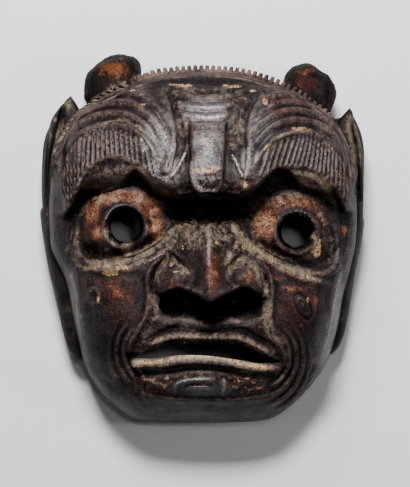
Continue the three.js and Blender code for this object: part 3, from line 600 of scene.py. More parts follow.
ears = (  # outer edge, inner edge and depth, all by height up the face; level and groove
    # on each side a plate, the leaf and the strands laid over it, and the lower plate
    ((18, -111.5, 40, -112.6, 64.6, -112, 75.5, -110.2, 82, -107.7, 89, -105.2, 93.5, -102.2, 99, -98),
     (18, -101, 37, -98, 58, -93, 78.5, -86, 90, -86, 99, -97), (18, 12, 50, 15, 80, 12, 92, 8, 99, 1), 24,
     0),
    ((46, -104, 58, -103, 66, -103.5, 78, -100, 88, -98, 94.7, -97.3, 99.6, -96, 103.4, -92),
     (46, -97, 58, -93, 70, -88, 82, -84, 91, -84.5, 97.4, -87.6, 103.4, -91.6),
     (46, 8, 70, 11, 90, 10, 99, 6, 103.4, 1), 33, 0.2),
    ((34, -110, 48, -110.5, 60, -110, 70, -108.7, 78.3, -107.4, 86.5, -105.2, 91, -102.6, 97, -98.2),
     (34, -107, 48, -106, 60, -104.5, 70, -103, 78.3, -101.5, 86.5, -99.5, 92, -98.2, 97, -97.8),
     (34, 3, 60, 8, 80, 9, 92, 6, 97, 1), 34, 0.1),
    ((-79.5, -88.4, -76, -91.4, -70.4, -94.9, -51.4, -99.8, -34, -103.6, -18, -107.7, 7, -112, 20, -113.7,
      24.3, -113.6, 28, -111.5),
     (-79.5, -78, -71, -80, -53.5, -82, -33, -85, -12, -93, 9, -98, 24, -99, 28, -99),
     (-79.5, 4, -70, 8, -50, 12, 0, 17, 24, 16, 28, 12), 20, 0),
    ((15, 111.6, 37, 111.9, 57, 112.4, 67, 112.4, 74, 111.4, 79.5, 110, 85, 107.8, 90.4, 105),
     (15, 101, 37, 98, 64.6, 91, 80, 88, 88, 92, 90.4, 104), (15, 12, 50, 15, 75, 12, 86, 8, 90.4, 1), 24, 0),
    ((40, 108.4, 52, 107.8, 60, 107, 70, 105.4, 80, 103.6, 86.6, 104.2, 91.5, 103.9, 94.9, 101.9),
     (40, 101, 52, 98, 66, 93, 78, 90, 86, 93.5, 90, 97, 94.9, 101.5),
     (40, 7, 60, 10, 80, 10, 90, 7, 94.9, 1), 34, 0.15),
    ((30, 111, 45, 111, 57, 110.8, 68.6, 109.6, 77, 107.4, 84, 105, 88, 103.6),
     (30, 108, 45, 107.6, 57, 107, 68.6, 105.6, 77, 103.8, 84, 103, 88, 103.2),
     (30, 3, 55, 8, 75, 9, 84, 6, 88, 1), 34, 0.1),
    ((-76, 89.4, -73, 93, -66, 97.3, -48.7, 101.5, -24, 105.6, -2.8, 109.8, 12, 112.2, 18, 112.4,
      23.6, 110.6),
     (-76, 78, -66, 81, -48.7, 84, -24, 88, -2.8, 96, 12, 98, 18, 99, 23.6, 99),
     (-76, 4, -66, 8, -45, 12, 0, 17, 18, 16, 23.6, 12), 20, 0))


def buildEar(outer, inner, depth, level, groove):  # oval rings from foot to tip, grooved along the front
    y = np.linspace(outer[0], outer[-2], 90)[:, None]
    outside, inside, thick = (lineAt(y, points) for points in (outer, inner, depth))
    turn = np.linspace(0, 2 * np.pi, 64, endpoint=False)[None]
    x = (inside + outside) / 2 + (outside - inside) / 2 * np.cos(turn)
    y = y + 0 * turn
    z = level + thick * (np.sin(turn) - groove * bell(turn - 1.57, 0.4)) + 0.35 * rough(x, y, 0 * x, 5, 41, 2)
    return tubeSolid("ear", np.stack([x, y, z], -1))


horns = (  # middle, level, height above and below it, seed, outline seen from the front
    ((-60, 110), 26, 25, 20, 51,
     (-83.4, 101, -83.4, 112, -81, 121, -72.5, 128, -64.4, 132.4, -58, 133.8, -51.5, 133.4, -45.6, 130.4,
      -42.4, 123, -42.4, 112, -47, 103, -56, 97, -68, 94, -78, 95)),
    ((72, 106), 25, 23, 19, 57,
     (53.6, 111, 56.5, 119, 61.4, 124.6, 66.7, 127, 72.3, 127.6, 78, 125.6, 82.6, 122.4, 87.4, 119.2, 91, 114,
      93.4, 108, 93, 102, 90.6, 95, 87, 89, 74, 86, 62, 92, 56, 101)))


def buildHorn(middle, level, up, down, seed, outline):
    # a worn stub: the outline drawn in to its middle along a squared arch, chipped and furrowed
    closed = splineThrough(outline + outline[:2], 10)[:-1]
    lift = np.linspace(-0.49 * np.pi, 0.49 * np.pi, 60)[:, None]
    share, arch = np.cos(lift) ** 0.6, np.sign(np.sin(lift)) * np.abs(np.sin(lift)) ** 0.85
    x, y = (middle[k] + (closed[:, k] - middle[k]) * share for k in range(2))
    z = level + np.where(arch > 0, up, down) * arch + 0 * x
    worn = 1.5 * rough(x, y, z, 13, seed, 3) - 0.9 * np.abs(rough(x * 2.4, y * 0.5, z, 7, seed + 3, 2))
    points = np.stack([x, y, z], -1)
    inward = points - (*middle, level)
    inward /= np.linalg.norm(inward, axis=-1, keepdims=True)
    return tubeSolid("horn", points + inward * (worn - 0.6)[..., None])


def applyModifiers(piece):
    shown = piece.evaluated_get(bpy.context.evaluated_depsgraph_get())
    old, made = piece.data, bpy.data.meshes.new_from_object(shown)
    piece.modifiers.clear()
    piece.data = made
    bpy.data.meshes.remove(old)


def combine(base, other, operation):  # joins or cuts with another solid, which is then removed
    change = base.modifiers.new(operation.lower(), "BOOLEAN")
    change.object, change.operation = other, operation
    change.solver, change.material_mode = "MANIFOLD", "INDEX"
    applyModifiers(base)
    bpy.data.objects.remove(other)


def thinned(piece, limit):  # fewer triangles where the form is plain, before any join
    thinning = piece.modifiers.new("thinning", "DECIMATE")
    thinning.ratio = min(1, limit / len(piece.data.polygons))
    applyModifiers(piece)
    return piece


# colour: soft-edged regions and lines on a map over the face, read back at each vertex

paintMap = {"left": -120, "bottom": -136, "step": 0.5, "columns": 481, "rows": 545, "margin": 40}

paintLines = {  # how they fade and how sharp they are, then rows of half width, strength and points
    "dust": ((0.1, 0.1, 1.7), (  # pale dust and wear along ledges and fold tops
        (3.6, 0.7, -101.5, 64, -99, 78, -95, 88, -92, 101), (2, 0.6, -108, 50, -105.5, 82, -99, 95),
        (2.4, 1, -50, 110.5, -66, 103.5, -78, 96.5, -88, 88.5, -96, 77, -100, 66),
        (2, 1, -103.6, 87.5, -101.5, 84.5), (2, 0.7, -102, 60, -98, 76),
        (3.8, 1, 106, 54, 103.5, 70, 101, 80, 101.5, 93), (2, 0.8, 109, 50, 108, 72, 104.5, 86),
        (1.5, 0.6, 23.4, 84, 23.6, 74, 24.6, 62), (3, 0.5, -16, 58, -14.6, 70, -16, 84),
        (3, 0.45, 20.5, 88, 20.5, 74, 21.5, 60), (2, 0.5, 31, 60, 33, 72, 38, 86),
        (3.6, 0.95, -85.8, -12.5, -81.2, -15.2, -71.9, -15.2, -58.7, -13.9, -44.2, -9.9, -33.7, -3.3,
         -23.1, 3.3, -12.5, 9.9),
        (1.9, 0.55, -83.8, -13.9, -85.8, -1.3, -85.1, 8.6, -82.5, 18.5, -77.9, 26.4, -71.3, 30.4),
        (3.6, 0.75, -75, 26, -66, 30, -56.1, 33.4, -48.2, 35, -42, 32, -35, 24),
        (3.6, 1.35, -51, 0, -50.4, -4.6, -49.8, -9.2), (2.2, 0.95, 73, 7, 76.5, 2, 75.5, -4, 71, -7.5),
        (3, 0.65, 40, 22, 48, 29, 58, 32.5, 68, 32, 76, 27), (2.4, 0.8, -66.5, 10, -63.5, 2, -57, -2.6),
        (2.6, 0.6, -67.3, -20.5, -62.7, -17.2, -57.4, -15.8, -52.1, -13.9),
        (2.2, 0.85, -31.7, -29.7, -30.4, -22.4, -27.1, -15.8, -21.8, -11.2),
        (1.8, 0.95, -21.1, -11.2, -15.8, -15.8, -10.6, -20.5, -15.8, -21.1),
        (2.8, 0.6, -28.4, 0, -19.1, 4.6, -11.9, 11.2, -4.6, 13.9),
        (3.4, 1.15, 16.5, 13.9, 24.4, 4.6, 32.3, -2.6, 42.9, -9.2, 54.1, -16.5, 64, -21.1, 75.9, -23.8,
         84.5, -22.4),
        (2.4, 0.7, 75.9, 21.8, 81.8, 15.2, 86.5, 4.6, 86.5, -7.9, 84.5, -16.5),
        (3, 1.05, 56.1, 45.5, 67.3, 46.9, 75.9, 42.2, 83.8, 35, 89.1, 28.4, 92.4, 23.8),
        (2.6, 0.35, -73.3, 33.7, -68.6, 40.9, -62.7, 46.9, -54.1, 49.5, -44.9, 48.2, -37, 41.6),
        (1.5, 0.85, -87, 28, -81.5, 41, -73, 50, -62.7, 55, -50.8, 53.6, -40, 47, -35, 41),
        (1.7, 0.6, -91.7, 60.1, -86.5, 63.4, -79.9, 70, -71.3, 76.6, -62.7, 80.5, -53.5, 81.2, -44.9, 77.9,
         -38.9, 71.9, -35.6, 64),
        (2, 0.8, 41.6, 49.5, 42.2, 58.1, 45.5, 64, 51.5, 70, 60.1, 73.3, 71.9, 73.3, 80.5, 68.6, 87.8, 60.7),
        (2.2, 1, 27.1, 7.3, 23.1, 0, 18.5, -8.6, 15.2, -16.5),
        (3.2, 1, 16.5, -21.1, 21.8, -14.5, 28.4, -12.5, 34.3, -17.2, 39.6, -25.1, 42.9, -35, 42.9, -45.5,
         42.9, -54.8, 46.2, -62.7, 52.1, -70),
        (3.2, 0.5, -25.1, -13.2, -29.7, -20.5, -32.3, -29.7, -33, -38.9, -30.4, -46.9, -35, -55.4,
         -40.3, -64.7, -44.2, -70),
        (1.7, 0.5, 28.4, 94.4, 26.4, 84.5, 25.1, 74.6, 27.1, 66, 30.4, 54.8, 31, 44.2),
        (2.2, 0.4, -17.8, 102.3, -15.8, 94.4, -13.9, 84.5, -13.2, 71.3, -15.2, 61.4),
        (2.2, 1, -37.6, -70.4, -31, -66.4, -23.1, -63.8, -11.9, -63.2, 1.3, -63.2, 12.5, -63.2, 23.1, -64.4,
         32.3, -68, 40.9, -72.2, 46.2, -75.8),
        (1.6, 0.5, -84, -40, -81, -47, -85, -52), (1.6, 0.5, 90, -52, 84, -70, 74, -86),
        (1.2, 0.5, 96, -10, 91, -24), (1, 0.6, -88, 12, -90, 0, -95, -8), (1, 0.5, -93, 30, -97, 12),
        (0.7, 0.8, 110, -2, 105.6, -24, 101.6, -47, 97.2, -65, 92.6, -72.6, 87, -76),
        (0.7, 0.8, -108, -14, -103.8, -33, -99.6, -51.4, -94.8, -70, -89, -78),
        (2.8, 1.55, -50.2, -83.4, -42.9, -80.6, -33.7, -80.2, -23.1, -78.4, -11.9, -76.4, 1.3, -76,
         11.2, -76.6, 21.1, -79.4, 31, -81.6, 41.6, -83.8, 50.2, -83.2))),
    "red": ((0.1, 0.1), ((1.5, 1.5, 34.6, -7.6, 43.6, -13.3, 54.9, -20.6, 58.2, -23.9, 63, -30.4, 60.5, -37),
        (1.2, 1.6, 63, -30.4, 68, -32.5, 71.8, -37, 73.6, -42), (1, 1.4, 62, -49, 66, -54, 72.8, -52.3),
        (1.6, 1.4, -65, -38.5, -62, -33.4, -58.5, -35.5, -56, -32), (1.4, 1.3, -52, -30, -53, -36),
        (2, 1.3, -72, 8, -73, 18, -68, 26), (1.5, 1.2, -60, 33, -52, 35))),
    "edge": ((0.15, 0.15), (  # painted highlights: a pale shine along worn edges, rims and ridges
        (2.4, 0.7, -7.8, 54, -7, 44, -4.4, 37, 0, 33, 5, 32.2, 9, 34),
        (0.9, 1.2, -17.8, 66, -20, 56, -22.8, 45), (0.8, 1.1, -11, 60, -15, 52, -21.4, 42),
        (0.8, 1.2, 29.6, 63, 29.8, 54, 28, 41), (0.8, 1, 19, 58, 22.5, 51, 26.4, 42),
        (1.3, 0.9, -6, 84, 4, 83.2, 14, 84), (1.1, 0.8, -6, 91, 4, 90.2, 14, 91),
        (4, 0.5, -30, 80, -25, 68, -19, 56), (0.9, 1, -41.5, 70, -39.5, 64, -39, 57),
        (0.6, 0.3, 5, 12, 4.5, 2, 4, -6), (0.6, 0.8, -45.5, -16, -34, -11.5, -24, -6),
        (6, 0.55, -1, 70, 4, 62, 2, 54), (2, 0.6, -3, 41, 3, 39.6, 9, 40.4), (1.2, 0.5, -1, 37, 7, 37),
        (0.8, 0.55, *arc((-52.5, 12.2), (12.8, 12.8), 20, 190).ravel()),
        (0.8, 0.6, *arc((63, 8), (12.4, 12.8), 10, 200).ravel()),
        (1.2, 0.5, 97, -12, 92.5, -26, 89, -42, 86.5, -58, 82, -74, 75, -88),
        (1, 0.4, -93, -14, -87, -30, -85, -52, -82, -69),
        (0.8, 0.8, -18.6, -100, -17.4, -94.6, -10, -92.2, 4, -91.6),
        (0.8, 0.9, 13.8, -91, 14.1, -96, 13.4, -101), (0.7, 0.7, -12, -97.4, -2, -96.6, 6, -97),
        (0.7, 0.5, -41, -74, -46, -80, -47, -88)))}

paintSpots = {  # rows of centre, radii and strength
    "dust": ((3, 5, 24, 13, 0.75), (-20, -2, 14, 9, 0.55), (26, 0, 10, 8, 0.5), (3, -51, 38, 6, 0.25),
        (-55, 31, 22, 7, 0.42), (56, 29, 20, 6, 0.45), (-34, 14, 9, 16, 0.28), (38, 15, 10, 16, 0.35),
        (3, -95, 44, 9, 0.4), (3, 98, 60, 12, 0.3), (70, 41, 20, 8, 0.25), (-22, 52, 8, 14, 0.3),
        (28, 52, 8, 14, 0.3), (20.5, 70, 6, 20, 0.35), (-13, 60, 5, 20, 0.35)),
    "orange": ((-56, 30, 26, 9, 0.9), (-36, 24, 12, 13, 0.8), (-73, 20, 8, 12, 0.75), (-71, 6, 6, 8, 0.7),
        (-31, 9, 7, 12, 0.95), (-66, -9, 16, 3, 0.6), (-57, -34, 5, 6, 0.6), (-62, -29, 4, 6, 0.4),
        (42, 14, 12, 17, 0.95), (60, 27, 22, 7, 0.8), (79, 14, 7, 12, 0.5), (48, -6, 12, 5, 0.5),
        (5, 46, 8, 4.5, 0.8), (-10.4, 77, 2.2, 7, 1), (95, 8.5, 4, 6, 0.9), (39, 7, 6, 8, 0.8),
        (6.5, -20, 4.5, 20, 0.7), (4, -36, 10, 5, 0.4), (30, -24, 6, 5, 0.5), (-17, -30, 9, 4, 0.4),
        (60, -31, 13, 2.5, 0.9), (52, -24, 10, 3, 0.6), (75, -40, 2.5, 9, 0.8), (-64, 121, 16, 7, 0.9),
        (-54, 129, 6, 4, 0.5), (71, 120, 9, 5, 0.7), (67, 110, 9, 7, 0.55), (-84, -88, 5, 6, 0.6),
        (20, -64, 7, 2.5, 0.7), (-33, -70, 6, 3, 0.5), (-44, -80.5, 6, 3, 0.8), (44, -84, 8, 2.5, 0.8),
        (6, -79, 9, 2, 0.5), (-20, -80, 9, 1.6, 0.5)),
    "red": ((-56, -32, 17, 15, 1), (-58, -22, 8, 2.5, 0.9), (-74, -24, 12, 8, 0.5), (-48, -48, 22, 12, 0.6),
        (-72, 14, 12, 22, 1), (-60, -6, 24, 8, 0.7), (-30, 12, 9, 18, 0.6), (-60, 30, 22, 8, 0.5),
        (50, -20, 22, 8, 0.9), (64, -42, 22, 24, 0.85), (46, -42, 8, 16, 0.5), (78, -58, 12, 16, 0.4),
        (76, 2, 14, 14, 0.6), (40, 12, 12, 18, 0.6), (66, -8, 20, 8, 0.5), (6, -20, 8, 24, 1.1),
        (28, -26, 9, 7, 1), (-20, -27, 12, 8, 0.8), (-66, 97, 10, 2, 0.8), (-49, 99, 8, 2.2, 1),
        (-45, 92, 5, 2.6, 1.2), (-62, 91, 22, 2.4, 1.1), (56, 96, 20, 2.4, 1.2), (50, 88, 22, 2.8, 1.3),
        (62, 81, 14, 2.4, 1), (-58, 84, 18, 2, 0.8), (20, 88, 9, 4, 0.5), (-60, 62, 28, 14, 0.5),
        (68, 58, 28, 14, 0.45), (-36, -92, 13, 9, 1), (-28, -99, 14, 6, 1), (24, -94, 14, 9, 0.9),
        (31, 37, 5, 7, 1), (-10, 101, 14, 3, 0.6), (4, 38, 10, 8, 0.3), (0, 2, 30, 14, 0.45),
        (-60, 119, 16, 10, 0.8), (71, 112, 12, 12, 0.9), (4, -62, 44, 3, 0.4), (4, -86, 44, 4, 0.6),
        (-75, 99, 8, 10, 0.4), (68, 38, 14, 6, 0.9), (8, -22, 8, 14, 1)),
    # cool: a painted blue-grey sheen of the dark lacquer on the chin, jaw, sides and forehead, and the grey
    # of the cheek's knot
    "coolGreyAndSheen": ((0, -114, 70, 12, 1.2), (-80, -70, 22, 42, 1.2), (82, -72, 22, 44, 1.2), (100, -20, 14, 60, 1),
        (-98, -24, 15, 60, 1), (36, 76, 13, 28, 0.9), (-62, 84, 26, 4, 0.6), (4, 60, 13, 20, 0.6),
        (0, 112, 60, 10, 0.8), (-22, -88, 14, 6, 0.7), (-32, 64, 9, 18, 0.5), (-60, -70, 16, 18, 0.8),
        (68, -38, 5, 9, 1.6), (72, -48, 4, 6, 1.4), (-22, 2, 14, 8, 0.5)),
    # black: painted shade in the pit between the brows and in the mouth's corner, and darker places elsewhere
    "blackAndShade": ((-74, -4, 12, 8, 0.85), (-60, -8, 16, 5, 0.7), (78, -7, 9, 11, 0.6), (64, -13, 18, 5, 0.7),
        (4, 18, 36, 13, 1.1), (-47, -76, 8, 4, 1), (0, 110, 70, 4, 0.6), (-28, 6, 5, 16, 0.4),
        (88, 106, 6, 12, 1), (-80, 112, 4, 8, 0.7), (-108, 62, 2.5, 40, 0.9), (111, 66, 2.5, 30, 0.9),
        (-101, 101, 4, 5, 0.7), (-78, -44, 5, 8, 0.5), (84, -34, 6, 12, 0.45), (70, -52, 18, 22, 0.55),
        (-92, -6, 5, 20, 0.4), (-58, -54, 22, 12, 0.45), (64, -58, 20, 12, 0.45), (-66, -68, 18, 20, 0.5),
        (56, -32, 16, 12, 0.25), (-64, -46, 20, 10, 0.3), (-97, 10, 7, 44, 0.45), (-88, -58, 8, 26, 0.25),
        (2, -31, 12, 8, 0.4), (-4, -16, 4, 14, 0.35)),
    "gloss": ((4, 60, 13.5, 26, 1), (-27, 68, 14, 24, 1), (38, 72, 14, 30, 0.6), (-26, 48, 14, 14, 1),
        (32, 50, 14, 14, 0.8), (3, 86, 22, 14, 0.9), (3, -6, 4, 15, 0.7), (8, -24, 4, 10, 0.3),
        (0, -75, 50, 8, 0.7), (8, -50, 26, 6, 0.5), (0, -96, 26, 9, 0.7), (-31, -92, 10, 8, 0.5),
        (-62, 62, 32, 22, 0.35), (66, 60, 32, 22, 0.35), (0, -112, 74, 14, 0.2), (92, -52, 7, 40, 0.5),
        (84, -66, 12, 22, 0.5), (-90, -50, 8, 50, 0.5), (4, 36, 14, 8, 1), (-56, 40, 24, 10, 0.4))}

chips = ((-75.6, -33, 1, 2.4), (-70.2, -38, 0.9, 2.2), (42, 94.5, 2, 2.6), (66, 75.5, 7, 1.8),
         (42, 62, 2, 2.2), (-21, -15.5, 1.8, 1.6), (-34, -27, 1.4, 2.4), (-40, 93, 2, 1.2),
         (-17, -20, 2.8, 0.8), (9, -1, 1, 1.4), (-103.5, 86, 1.2, 1.6), (-63, -20.5, 5.5, 1.9),
         (-54.5, -16.8, 4.5, 1.6), (-13, -4, 1, 2), (0, 46, 5, 2), (8.5, 48, 3, 1.6), (-20, 107.5, 3, 0.8),
         (-12, 107, 4, 1), (15, 107, 2, 0.8), (-48, 103, 2.4, 0.8), (22, 106, 5, 0.8), (34, 103, 3, 1),
         (28, 37, 1.2, 3), (27, -3, 1.2, 2), (70, -38, 1.2, 2), (-36, -92, 5, 1.2), (-31, -94, 4, 1.2),
         (30, -91, 2, 1), (22, -97, 3, 1.4), (28, -97, 2, 1), (24, -92.5, 1.8, 1), (34, -94, 2, 1),
         (26, -100.5, 2, 1), (37, -98, 1.8, 1), (31.5, -99, 1.5, 1), (-26, -96.5, 2.4, 1.1), (-24, -91, 2, 1),
         (-83, -90, 1.6, 3), (77, -2, 2.6, 7))  # small bare places: centre and radii


def blurred(values, width):  # a Gaussian blur, done as a product of frequencies
    margin = paintMap["margin"]
    padded = np.pad(values, margin, mode="edge")
    down, across = np.fft.fftfreq(padded.shape[0]), np.fft.rfftfreq(padded.shape[1])
    spread = width / paintMap["step"]
    keep = np.exp(-2 * (np.pi * spread) ** 2 * (down[:, None] ** 2 + across[None] ** 2))
    return np.fft.irfft2(np.fft.rfft2(padded) * keep, padded.shape)[margin:-margin, margin:-margin]


def ropeGapShade(x, y):  # painted shade in the gaps between the band's slanting teeth towards its left end
    out = np.hypot(x, y) - outlineRadius(np.arctan2(y, x))
    degrees = np.degrees(np.arctan2(y, x))
    gapShade = smooth(0.1, -0.5, bandWave(degrees, 0.9, (out + band["inset"]) / band["half"]))
    inside = smooth(108, 116, degrees) * (degrees < 146) * smooth(-5, -4, out) * smooth(2.6, 1.8, out)
    return 1.2 * gapShade * inside


def paintedMaps():  # every mask of the finish: painted lines and spots, painted shade and highlights among them, and what the relief gives
    x, y = np.meshgrid(paintMap["left"] + paintMap["step"] * np.arange(paintMap["columns"]),
                       paintMap["bottom"] + paintMap["step"] * np.arange(paintMap["rows"]))
    height = faceHeight(x, y) + relief(x, y)
    line = {name: np.max(strokes(x, y, rows, *fades), 0) for name, (fades, rows) in paintLines.items()}
    spot = {name: spots(x, y, rows) for name, rows in paintSpots.items()}
    offEyes = smooth(12.6, 15.6, np.hypot(x + 55.8, y - 13))
    offEyes *= smooth(11.8, 14, np.hypot(x - 62, (y - 8.6) / 1.12))
    # black rings round the eye holes: painted shade on their bores and worn cones
    rims = [1.4 * bell(holeAway(x, y - 1, side), 3.4) for side, _ in sides]
    hairs = {side: hairInside(x, y, side, sign) for side, sign in sides}
    # painted shade in the grooves between the hair ridges
    gapShade = sum(inside * smooth(0.75, 0.35, hairRidges(x, y, side)) for side, inside in hairs.items())
    # painted shadow under the nose, down towards the upper lip
    under = smooth(1, -2, y - noseEdge(x)) * smooth(-54, -43, y + 6 * bell(x - 5, 12))
    under *= 1 - smooth(30, 38, np.abs(x - 5))
    raised = np.clip((height - blurred(height, 1.3)) / 0.55, 0, 1)
    return {"worn": raised * (0.55 + 0.4 * sum(hairs.values())),
            # painted shade in the hollows, where the relief lies below its blur
            "sunkShade": np.clip((blurred(height, 2.2) - height) / 1.4, 0, 1),
            "dust": np.maximum(line["dust"], spot["dust"]),
            "edge": line["edge"],
            "orange": spot["orange"] * offEyes,
            "red": np.maximum(spot["red"], line["red"]) * smooth(0.7, 1, knotAway(x, y)),
            # the cool grey also lies round and down the eye holes
            "coolGreyAndSheen": np.maximum(spot["coolGreyAndSheen"], 1.2 - offEyes),
            # rope: painted shade in the band's gaps
            "rope": ropeGapShade(x, y),
            "blackAndShade": np.max([spot["blackAndShade"], *rims, 0.95 * gapShade, 1.3 * under], 0),
            "gloss": spot["gloss"],
            "chip": np.max([mound(x, y, (cx, cy), (1.3 * rx, 1.3 * ry), 0.6) for cx, cy, rx, ry in chips], 0)}


def readMap(values, x, y):  # blends the four nearest cells
    column = np.clip((x - paintMap["left"]) / paintMap["step"], 0, paintMap["columns"] - 1.001)
    row = np.clip((y - paintMap["bottom"]) / paintMap["step"], 0, paintMap["rows"] - 1.001)
    i, j = column.astype(int), row.astype(int)
    f, g = column - i, row - j
    return ((values[j, i] * (1 - f) + values[j, i + 1] * f) * (1 - g)
            + (values[j + 1, i] * (1 - f) + values[j + 1, i + 1] * f) * g)


goesDown = ("worn", "sunkShade", "coolGreyAndSheen", "blackAndShade")  # these layers run on down the walls


def paintVertices(piece):  # the other layers lie only on what faces the front
    points, normals = (np.empty(3 * len(piece.data.vertices), np.float32) for _ in range(2))
    piece.data.vertices.foreach_get("co", points)
    piece.data.vertex_normals.foreach_get("vector", normals)
    x, y, z = (points.reshape(-1, 3) / mm).T.astype(float)
    facing = smooth(0.02, 0.3, normals.reshape(-1, 3)[:, 2])
    painted = {name: readMap(values, x, y) * (1 if name in goesDown else facing)
               for name, values in paintedMaps().items()}
    painted["wall"] = smooth(3, -5, z - wallHeight(np.arctan2(y, x)))
    for name, values in painted.items():
        layer = piece.data.attributes.new(name, "FLOAT", "POINT")
        layer.data.foreach_set("value", values.astype(np.float32))


# materials

def put(tree, kind, sockets=None, **settings):  # a node with its settings, its fixed inputs and its links
    item = tree.nodes.new("ShaderNode" + kind)
    for key, value in settings.items():
        setattr(item, key, value)
    for key, value in (sockets or {}).items():
        if isinstance(value, bpy.types.NodeSocket):
            tree.links.new(value, item.inputs[key])
        else:
            item.inputs[key].default_value = value
    return item


def blend(tree, share, under, over):  # under where share is 0, over where it is 1
    return put(tree, "Mix", {0: share, 6: under, 7: over}, data_type="RGBA").outputs[2]


def layered(tree, under, layers):  # one colour laid over the last, each by its own share
    for share, over in layers:
        under = blend(tree, share, under, dirt[over])
    return under


def between(tree, value, low, high, start=0.0, end=1.0):  # eases from start to end between low and high
    return put(tree, "MapRange", {0: value, 1: low, 2: high, 3: start, 4: end},
               interpolation_type="SMOOTHSTEP").outputs[0]


def maths(tree, operation, *values, clamp=False):
    return put(tree, "Math", dict(enumerate(values)), operation=operation, use_clamp=clamp).outputs[0]


def times(tree, product, *factors):
    for factor in factors:
        product = maths(tree, "MULTIPLY", product, factor)
    return product


def mask(tree, name):
    return put(tree, "Attribute", attribute_name=name).outputs["Fac"]


def speckle(tree, coordinates, scale, detail=4.0, rough=0.55, distortion=0.0):
    return put(tree, "TexNoise", {"Vector": coordinates, "Scale": scale, "Detail": detail, "Roughness": rough,
                                  "Distortion": distortion}).outputs[0]


def colour(*rgb):
    return (*rgb, 1.0)


def newGroup(name, inputs, outputs):
    tree = bpy.data.node_groups.new(name, "ShaderNodeTree")
    for direction, sockets in (("INPUT", inputs), ("OUTPUT", outputs)):
        for socketName, kind in sockets.items():
            tree.interface.new_socket(name=socketName, in_out=direction, socket_type="NodeSocket" + kind)
    return tree, tree.nodes.new("NodeGroupInput").outputs, tree.nodes.new("NodeGroupOutput").inputs


def broken(tree, amount, marks, spread):  # an amount with its edge broken up by two sizes of noise
    noise = maths(tree, "SUBTRACT", maths(tree, "ADD", marks["Mottle"], marks["Flecks"]), 1)
    return maths(tree, "MULTIPLY_ADD", noise, spread, amount)


# scale, detail, roughness and distortion of each size of noise
grains = {"Mottle": (75, 6, 0.62, 0.3), "Flecks": (260, 5, 0.68, 0.4), "Specks": (900, 3, 0.7)}


def makeGrain():  # fine fibres along the face and three sizes of mottling, all as values round a half
    tree, given, result = newGroup("grain", {"Vector": "Vector"}, dict.fromkeys(("Fibres", *grains), "Float"))
    along = put(tree, "Mapping", {"Vector": given["Vector"], "Scale": (1, 0.09, 1)}).outputs[0]
    tree.links.new(speckle(tree, along, 520, 4, 0.6), result["Fibres"])
    for name, kind in grains.items():
        tree.links.new(speckle(tree, given["Vector"], *kind), result[name])
    return tree


def makeDusting():  # dust over a colour where its amount is high, broken up by two sizes of noise
    values = dict.fromkeys(("Amount", "Mottle", "Flecks", "Roughness"), "Float")
    tree, given, result = newGroup("dusting", {"Colour": "Color", "Dust colour": "Color", **values},
                                   {"Colour": "Color", "Roughness": "Float"})
    shown = between(tree, broken(tree, given["Amount"], given, 2.2), 0.2, 1.2, 0, 0.88)
    rougher = put(tree, "MapRange", {0: shown, 3: given["Roughness"], 4: 0.8}).outputs[0]
    tree.links.new(blend(tree, shown, given["Colour"], given["Dust colour"]), result["Colour"])
    tree.links.new(rougher, result["Roughness"])
    return tree


# colours of the finish: the pale grey is a painted highlight, the black also paints shade, the cool blue-grey
# paints the lacquer's sheen
dirt = {"dark": colour(0.004, 0.0026, 0.0025), "brown": colour(0.022, 0.01, 0.0075),
        "rubbed": colour(0.13, 0.084, 0.074), "coolGreyAndSheen": colour(0.0062, 0.009, 0.0122),
        "red": colour(0.03, 0.0065, 0.0045), "bright": colour(0.17, 0.024, 0.009),
        "rust": colour(0.1, 0.03, 0.0125), "orange": colour(0.28, 0.143, 0.082),
        "blackAndShade": colour(0.0012, 0.001, 0.001), "dust": colour(0.185, 0.137, 0.095),
        "gold": colour(0.46, 0.3, 0.16), "paintedHighlight": colour(0.36, 0.32, 0.31),
        "chip": colour(0.34, 0.21, 0.115), "hornRed": colour(0.03, 0.0055, 0.0035),
        "hornOrange": colour(0.085, 0.026, 0.008)}

grain, dusting = makeGrain(), makeDusting()


def startMaterial(name):
    finish = bpy.data.materials.new(name)
    finish.use_nodes = True
    tree = finish.node_tree
    tree.nodes.clear()
    return finish, tree, put(tree, "TexCoord").outputs["Object"]


def finishMaterial(tree, baseColour, roughness, height, distance, shine):
    bump = put(tree, "Bump", {"Height": height, "Strength": 0.6, "Distance": distance})
    shader = put(tree, "BsdfPrincipled", {"Base Color": baseColour, "Roughness": roughness,
                                          "Normal": bump.outputs[0], "Specular IOR Level": shine})
    put(tree, "OutputMaterial", {"Surface": shader.outputs[0]})


def dusted(tree, shown, marks, roughness, dustColour=dirt["dust"]):  # a colour under the map's dust
    return put(tree, "Group", {"Colour": shown, "Dust colour": dustColour, "Amount": mask(tree, "dust"),
                               "Mottle": marks["Mottle"], "Flecks": marks["Flecks"], "Roughness": roughness},
               node_tree=dusting).outputs


